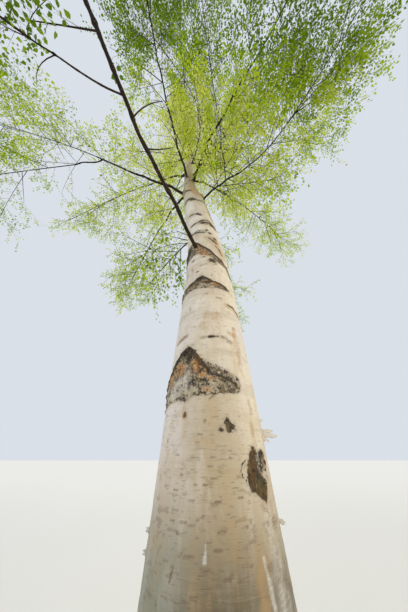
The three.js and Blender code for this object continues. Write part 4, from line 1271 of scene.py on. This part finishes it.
# Grows child twigs from parents: counts by length, turns by the golden angle, and lengths cut to the space.
def growTwigs(parents, draw, perMetre, lengths, leans, firstAt, droop, shortest, count=None, skin=0.97):
    parentLength = twigLength(parents)
    often = massFullness[parents["owner"], 0]
    number = np.floor(parentLength * perMetre * often + draw.random(len(parentLength))).astype(int)
    if count is not None:
        number = np.full(len(parentLength), count)
    source = np.repeat(np.arange(len(number)), number)
    order = np.arange(len(source)) - np.repeat(np.cumsum(number) - number, number)
    share = mix(firstAt, 1.0, (order + draw.random(len(source))) / np.maximum(number[source], 1))
    share = np.clip(share, 0, 1)
    base = chosen(parents, source)
    start = twigPoint(base, share)
    forward = twigTangent(base, share)
    turn = np.radians(order * goldenAngle + draw.uniform(-20, 20, len(source)) + source * 61.0)
    lean = np.radians(mix(*leans, draw.random(len(source))))
    level = unit(np.cross((0, 0, 1), forward))
    rising = np.cross(forward, level)
    direction = (forward * np.cos(lean)[:, None] + level * (np.sin(lean) * np.cos(turn))[:, None]
                 + rising * (np.sin(lean) * np.sin(turn))[:, None])
    wanted = mix(*lengths, draw.random(len(source))) * (1.15 - 0.45 * share)
    reach = np.zeros(len(source))
    going = np.ones(len(source), dtype=bool)
    for step in range(1, 7):
        probe = start + direction * (wanted * step / 6)[:, None]
        probe[:, 2] -= droop * wanted * (step / 6) ** 2
        going &= allowed(probe) if skin is None else belongs(probe, base["owner"], skin)
        reach = np.where(going, wanted * step / 6, reach)
    end = start + direction * reach[:, None]
    bend = draw.normal(0, 1, (len(source), 3))
    knee = start + (direction * 0.5 + bend * crown["bend"]) * reach[:, None]
    end[:, 2] -= droop * reach
    twigs = {"start": start, "knee": knee, "end": end, "owner": base["owner"]}
    inGap = np.zeros(len(source), dtype=bool)
    sight = unit(end - cameraPlace)
    for compass, rise, halfWidth in skyGaps:
        inGap |= sight @ heading(compass, rise) > math.cos(math.radians(halfWidth))
    return chosen(twigs, (reach > shortest) & ~(inGap & (draw.random(len(source)) < gapShare)))


def tubesOf(twigs, startRadius, endRadius, sides, segments):
    count = len(twigs["start"])
    thickness = massFullness[twigs["owner"], 3][:, None, None]
    shares = np.linspace(0, 1, segments + 1)
    rows = []
    tangent = unit(twigs["end"] - twigs["start"])
    across = unit(np.cross(tangent, np.array([0.37, 0.61, 0.7])))
    front = np.cross(tangent, across)
    for i, share in enumerate(shares):
        centre = twigPoint(twigs, np.full(count, share))
        radius = mix(startRadius, endRadius, share)
        if i == segments:
            rows.append(centre[:, None, :])
            break
        turn = np.arange(sides) * 2 * math.pi / sides
        ring = centre[:, None, :] + radius * thickness * (np.cos(turn)[None, :, None] * across[:, None, :]
                                                          + np.sin(turn)[None, :, None] * front[:, None, :])
        rows.append(ring)
    vertices = np.concatenate(rows, axis=1)
    perTwig = vertices.shape[1]
    faces = []
    for i in range(segments):
        for k in range(sides):
            a, b = i * sides + k, i * sides + (k + 1) % sides
            if i == segments - 1:
                faces.append((a, b, segments * sides))
            else:
                faces += [(a, b, b + sides), (a, b + sides, a + sides)]
    faces = np.array(faces)
    triangles = (faces[None] + (np.arange(count) * perTwig)[:, None, None]).reshape(-1, 3)
    return vertices.reshape(-1, 3), triangles


# True for a place between the camera and one of the limbs that the photograph shows.
def beforeLimbs(places):
    sight = places - cameraPlace
    away = np.linalg.norm(sight, axis=1)
    sight = sight / away[:, None]
    before = np.zeros(len(places), dtype=bool)
    for first in range(0, len(places), 8000):
        part = slice(first, first + 8000)
        inLine = sight[part] @ limbSight.T > math.cos(math.radians(limbClear["halfWidth"]))
        before[part] = (inLine & (away[part, None] < limbAway)).any(axis=1)
    return before


# the blade's outline: shares along and across, and how far the point stands above the midrib's fold
nearBlade = np.array([(0, 0, 0), (0.24, 0.40, 0.10), (0.50, 0.42, 0.11), (1.0, 0, 0.02), (0.50, -0.42, 0.11),
                      (0.24, -0.40, 0.10), (0.40, 0, -0.02)])
farBlade = np.array([(0, 0, 0), (0.40, 0.45, 0.11), (1.0, 0, 0.02), (0.40, -0.45, 0.11), (0.40, 0, -0.02)])


# Leaves along twigs: each on a short stalk, turned out from its twig and hanging, its face mostly upwards.
def growLeaves(twigs, draw, perMetre):
    length = twigLength(twigs)
    often = massFullness[twigs["owner"], 1]
    number = np.floor(length * perMetre * often + draw.random(len(length))).astype(int)
    source = np.repeat(np.arange(len(number)), number)
    order = np.arange(len(source)) - np.repeat(np.cumsum(number) - number, number)
    share = np.clip(mix(0.12, 1.0, (order + 0.3 + 0.7 * draw.random(len(source))) / number[source]), 0, 1)
    base = chosen(twigs, source)
    root = twigPoint(base, share)
    clear = np.linalg.norm(root - cameraPlace, axis=1) > crown["clearOfCamera"]
    clear &= ~(beforeLimbs(root) & (draw.random(len(root)) < limbClear["share"]))
    owner = base["owner"]
    outward = ((root - massFeet[owner]) * massAxes[owner]).sum(axis=1) / massHalves[owner] / 2
    kept = mix(massFullness[owner, 4], 1, smooth(0.05, crown["fullFrom"], outward))
    clear &= draw.random(len(root)) < kept
    source, order, share, root = source[clear], order[clear], share[clear], root[clear]
    base = chosen(base, clear)
    forward = twigTangent(base, share)
    hand = np.where(order % 2 == 0, 1.0, -1.0)
    level = unit(np.cross((0, 0, 1), forward))
    rising = np.cross(forward, level)
    splay = np.radians(draw.uniform(30, 75, len(source)))
    lift = draw.uniform(-0.7, 0.7, len(source))
    direction = (forward * np.cos(splay)[:, None] + (level * hand[:, None] + rising * lift[:, None])
                 * np.sin(splay)[:, None])
    direction[:, 2] -= draw.uniform(0.1, 0.9, len(source))
    direction = unit(direction)
    side = unit(np.cross((0, 0, 1), direction))
    roll = draw.normal(0, 0.75, len(source))
    normal = np.cross(direction, side)
    side, normal = (side * np.cos(roll)[:, None] + normal * np.sin(roll)[:, None],
                    normal * np.cos(roll)[:, None] - side * np.sin(roll)[:, None])
    size = mix(*crown["leafLength"], draw.random(len(source))) * massFullness[base["owner"], 2]
    stalkEnd = root + direction * (size * crown["stalk"])[:, None] + forward * (size * 0.1)[:, None]
    return {"place": root, "foot": stalkEnd, "direction": direction, "side": side, "normal": normal,
            "size": size, "owner": base["owner"]}


# Vertices and triangles of the leaves: the blade's outline is fanned from its last point, on the midrib.
def leafMesh(leaves, outline):
    size = leaves["size"][:, None, None]
    blade = (leaves["foot"][:, None] + leaves["direction"][:, None] * outline[None, :, 0:1] * size
             + leaves["side"][:, None] * outline[None, :, 1:2] * size * crown["leafWidth"]
             + leaves["normal"][:, None] * outline[None, :, 2:3] * size)
    blade[:, outline[:, 0].argmax(), 2] -= 0.12 * leaves["size"]
    stalkHalves = np.array([-0.0007, 0.0007])[None, :, None]
    stalkRoot = leaves["place"][:, None] + leaves["side"][:, None] * stalkHalves
    vertices = np.concatenate([blade, stalkRoot], axis=1)
    rim = len(outline) - 1
    faces = np.array([(i, (i + 1) % rim, rim) for i in range(rim)] + [(rim + 1, rim + 2, 0)])
    triangles = faces[None] + (np.arange(len(blade)) * vertices.shape[1])[:, None, None]
    return vertices.reshape(-1, 3), triangles.reshape(-1, 3), len(faces)


draw = np.random.default_rng(2024)
stemTwigs = twigArrays(stems)
sideTwigs = twigArrays(sides)
# the stem's leader carries on to the far end of the space, or as far as the frame's box
leaderShare = np.full(len(masses), 0.98)
for _ in range(6):
    leaderEnd = massFeet + massAxes * (massHalves * 2 * leaderShare)[:, None]
    leaderShare[~allowed(leaderEnd)] -= 0.04
leaderEnd = massFeet + massAxes * (massHalves * 2 * leaderShare)[:, None]
leaderDirection = unit(stemTwigs["end"] - stemTwigs["knee"])
leaders = {"start": stemTwigs["end"],
           "knee": stemTwigs["end"] + leaderDirection * (np.linalg.norm(leaderEnd - stemTwigs["end"], axis=1)
                                                         * 0.5)[:, None],
           "end": leaderEnd, "owner": np.arange(len(masses))}
moreSides = growTwigs(stemTwigs, draw, **twigKinds["moreSides"])
# twigs that the boughs bear on their way out to their masses
massIndex = {mass["name"].replace("foliage", "bough"): index for index, mass in enumerate(masses)}
boughParts = []
for name, (path, *rest) in boughs.items():
    owner = massIndex[name]
    first = int(bareUpTo.get(name, crown["boughTwigFrom"]) * boughSteps)
    boughParts += [(a, (a + b) / 2, b, owner) for a, b in zip(path[:-1], path[1:])][first:]


def shown(kind):
    rows = []
    for name, share, knee, end in shownTwigs[kind]:
        start = pointAlong(boughs[name][0], share)
        rows.append((start, start + knee, start + end, massIndex[name]))
    return twigArrays(rows)


def growBranches(parents, firstAt, skin=None):
    return growTwigs(parents, draw, firstAt=firstAt, skin=skin, **twigKinds["branches"])


limbPoints = []
for name in shownLimbs:
    owner = massIndex[name + "_bough"]
    shares = np.linspace(0, 1, limbClear["points"])
    limbPoints += [pointAlong(boughs[name + "_bough"][0], share) for share in shares]
    for twigs in (stemTwigs, leaders):
        limbPoints += list(twigPoint(chosen(twigs, np.full(limbClear["points"], owner)), shares))
limbSight = np.array(limbPoints) - cameraPlace
limbAway = np.linalg.norm(limbSight, axis=1)
limbSight = limbSight / limbAway[:, None]
boughTwigs = growTwigs(twigArrays(boughParts), draw, **twigKinds["boughTwigs"])
bearing = joined(sideTwigs, moreSides, leaders, stemTwigs)
branches = joined(growBranches(bearing, 0.14, crown["branchSkin"]), growBranches(boughTwigs, 0.2),
                  growBranches(shown("long"), 0.1))
bearing = joined(bearing, shown("long"))
cornerSprouts = growTwigs(shown("leafy"), draw, **twigKinds["cornerSprouts"])
spurs = joined(shown("bare"), shown("leafy"))
sprouts = growTwigs(joined(branches, boughTwigs), draw, **twigKinds["sprouts"])
sprouts = joined(sprouts, cornerSprouts, shown("spur"))
report(f"twigs: {len(bearing['owner'])} sides, {len(boughTwigs['owner'])} on boughs, "
       f"{len(branches['owner'])} branches, {len(sprouts['owner'])} sprouts")

leafSets = [growLeaves(twigs, draw, crown["leavesPerMetre"][kind])
            for kind, twigs in (("branches", branches), ("sprouts", sprouts), ("spur", shown("spur")))]
leafCount = sum(len(s["owner"]) for s in leafSets)
report(f"leaves: {leafCount}")


# Each spray takes one green as painted light and shade: palest high up near the trunk,
# darker outwards, low down and at the front.
# The size of a spray in metres, the sun at a middle height, what it gains with each metre, and what it loses
greenRule = {"spray": 0.16, "sun": 0.96, "middle": 5.5, "gain": 0.05, "outside": 0.32, "front": 0.60,
             "low": 0.40, "chance": 0.6}


def sprayGreens(leaves, seed):
    rule = greenRule
    place = leaves["place"]
    keyed = (np.floor(place / rule["spray"]).astype(np.int64) @ cellPrimes + seed) & 0xFFFFFFFF
    keyed = (keyed ^ (keyed >> 13)) * 1274126177 & 0xFFFFFFFF
    chance = ((keyed ^ (keyed >> 16)) & 0xFFFF) / 0xFFFF
    heights = place[:, 2]
    beside = np.clip(heights, 0, trunkHeight)
    away = np.hypot(place[:, 0] - trunkValue(beside, 1), place[:, 1] - trunkValue(beside, 2))
    sun = (rule["sun"] + rule["gain"] * (heights - rule["middle"]) - rule["outside"] * smooth(0.4, 1.7, away)
           - rule["front"] * smooth(-0.55, -1.35, place[:, 1]) - rule["low"] * smooth(3.2, 2.4, heights)
           + (chance - 0.5) * rule["chance"])
    return np.clip(((1 - sun) * len(leafMaterials)).astype(int), 0, len(leafMaterials) - 1)


# twigs as tapering tubes: radius at foot and tip in metres, sides and segments
twigTubes = [
    (stemTwigs, 0.0090, 0.0060, 7, 9), (leaders, 0.0060, 0.0016, 5, 4), (sideTwigs, 0.0062, 0.0026, 5, 5),
    (moreSides, 0.0055, 0.0022, 4, 4), (boughTwigs, 0.0046, 0.0020, 4, 3), (spurs, 0.0046, 0.0020, 5, 6),
    (shown("long"), 0.0060, 0.0022, 5, 6), (branches, 0.0023, 0.0010, 3, 2), (sprouts, 0.0013, 0.0006, 3, 1),
]
greens = [sprayGreens(leaves, 3) for leaves in leafSets]
faceCount = 0
for groupIndex, (groupName, names) in enumerate(groups.items()):
    kept = [massGroup[leaves["owner"]] == groupIndex for leaves in leafSets]
    leaves = joined(*[chosen(leaves, keep) for leaves, keep in zip(leafSets, kept)])
    blade = nearBlade if groupName == "low_front" else farBlade
    leafVertices, leafTriangles, perLeaf = leafMesh(leaves, blade)
    green = np.concatenate([green[keep] for green, keep in zip(greens, kept)])
    piece = meshObject(groupName + "_leaves", leafVertices, leafTriangles, leafMaterials,
                       np.repeat(green, perLeaf), False)
    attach(piece, "root")
    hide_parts(*names)
    leafFaceCount = len(piece.data.polygons)

    twigVertices, twigTriangles, offset = [], [], 0
    for twigs, *tube in twigTubes:
        vertices, triangles = tubesOf(chosen(twigs, massGroup[twigs["owner"]] == groupIndex), *tube)
        twigVertices.append(vertices)
        twigTriangles.append(triangles + offset)
        offset += len(vertices)
    piece = meshObject(groupName + "_twigs", np.concatenate(twigVertices), np.concatenate(twigTriangles),
                       [twigMaterial])
    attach(piece, "root")
    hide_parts(*names)
    faceCount += leafFaceCount + len(piece.data.polygons)
    print(f"{groupName}: {leafFaceCount} leaf faces, {len(piece.data.polygons)} twig faces")
report(f"crown: {faceCount} faces")

# The studio: a pale floor, a pale sky all round and three broad soft suns
studio = {"floor": "#cfccc4", "sky": "#e6edf5", "skyStrength": 0.88, "floorSize": 400}

floorMaterial, floorTree = newMaterial("pale_studio_floor")
floorShader = addNode(floorTree, "ShaderNodeBsdfPrincipled", None, Base_Color=linearColour(studio["floor"]),
                      Roughness=0.9)
finishMaterial(floorTree, floorShader)
floorCorners = np.array([(-1, -1, 0), (1, -1, 0), (1, 1, 0), (-1, 1, 0)]) * studio["floorSize"] / 2
floor = meshObject("floor", floorCorners, np.array([(0, 1, 2, 3)]), [floorMaterial])

world = bpy.data.worlds.new("pale_sky")
world.use_nodes = True
bpy.context.scene.world = world
background = world.node_tree.nodes["Background"]
background.inputs["Color"].default_value = linearColour(studio["sky"])
background.inputs["Strength"].default_value = studio["skyStrength"]

# name, compass and rise that the light comes from, width in degrees, strength, colour
lamps = [
    ("cool_left_light", -135, 40, 50, 1.10, "#e9f0ff"),
    ("warm_right_light", -35, 36, 40, 1.35, "#fff2dc"),
    ("soft_back_light", 80, 50, 60, 0.8, "#f6f6ff"),
]
for name, compass, rise, width, strength, colour in lamps:
    data = bpy.data.lights.new(name, "SUN")
    data.angle = math.radians(width)
    data.energy = strength
    data.color = linearColour(colour)[:3]
    lamp = bpy.data.objects.new(name, data)
    lamp.location = heading(compass, rise) * 20
    lamp.rotation_euler = Vector(-heading(compass, rise)).to_track_quat("-Z", "Y").to_euler()
    bpy.context.scene.collection.objects.link(lamp)
report("studio")

scene = bpy.context.scene
scene.view_settings.view_transform = "Standard"
scene.view_settings.look = "None"

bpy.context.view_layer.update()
report("done")
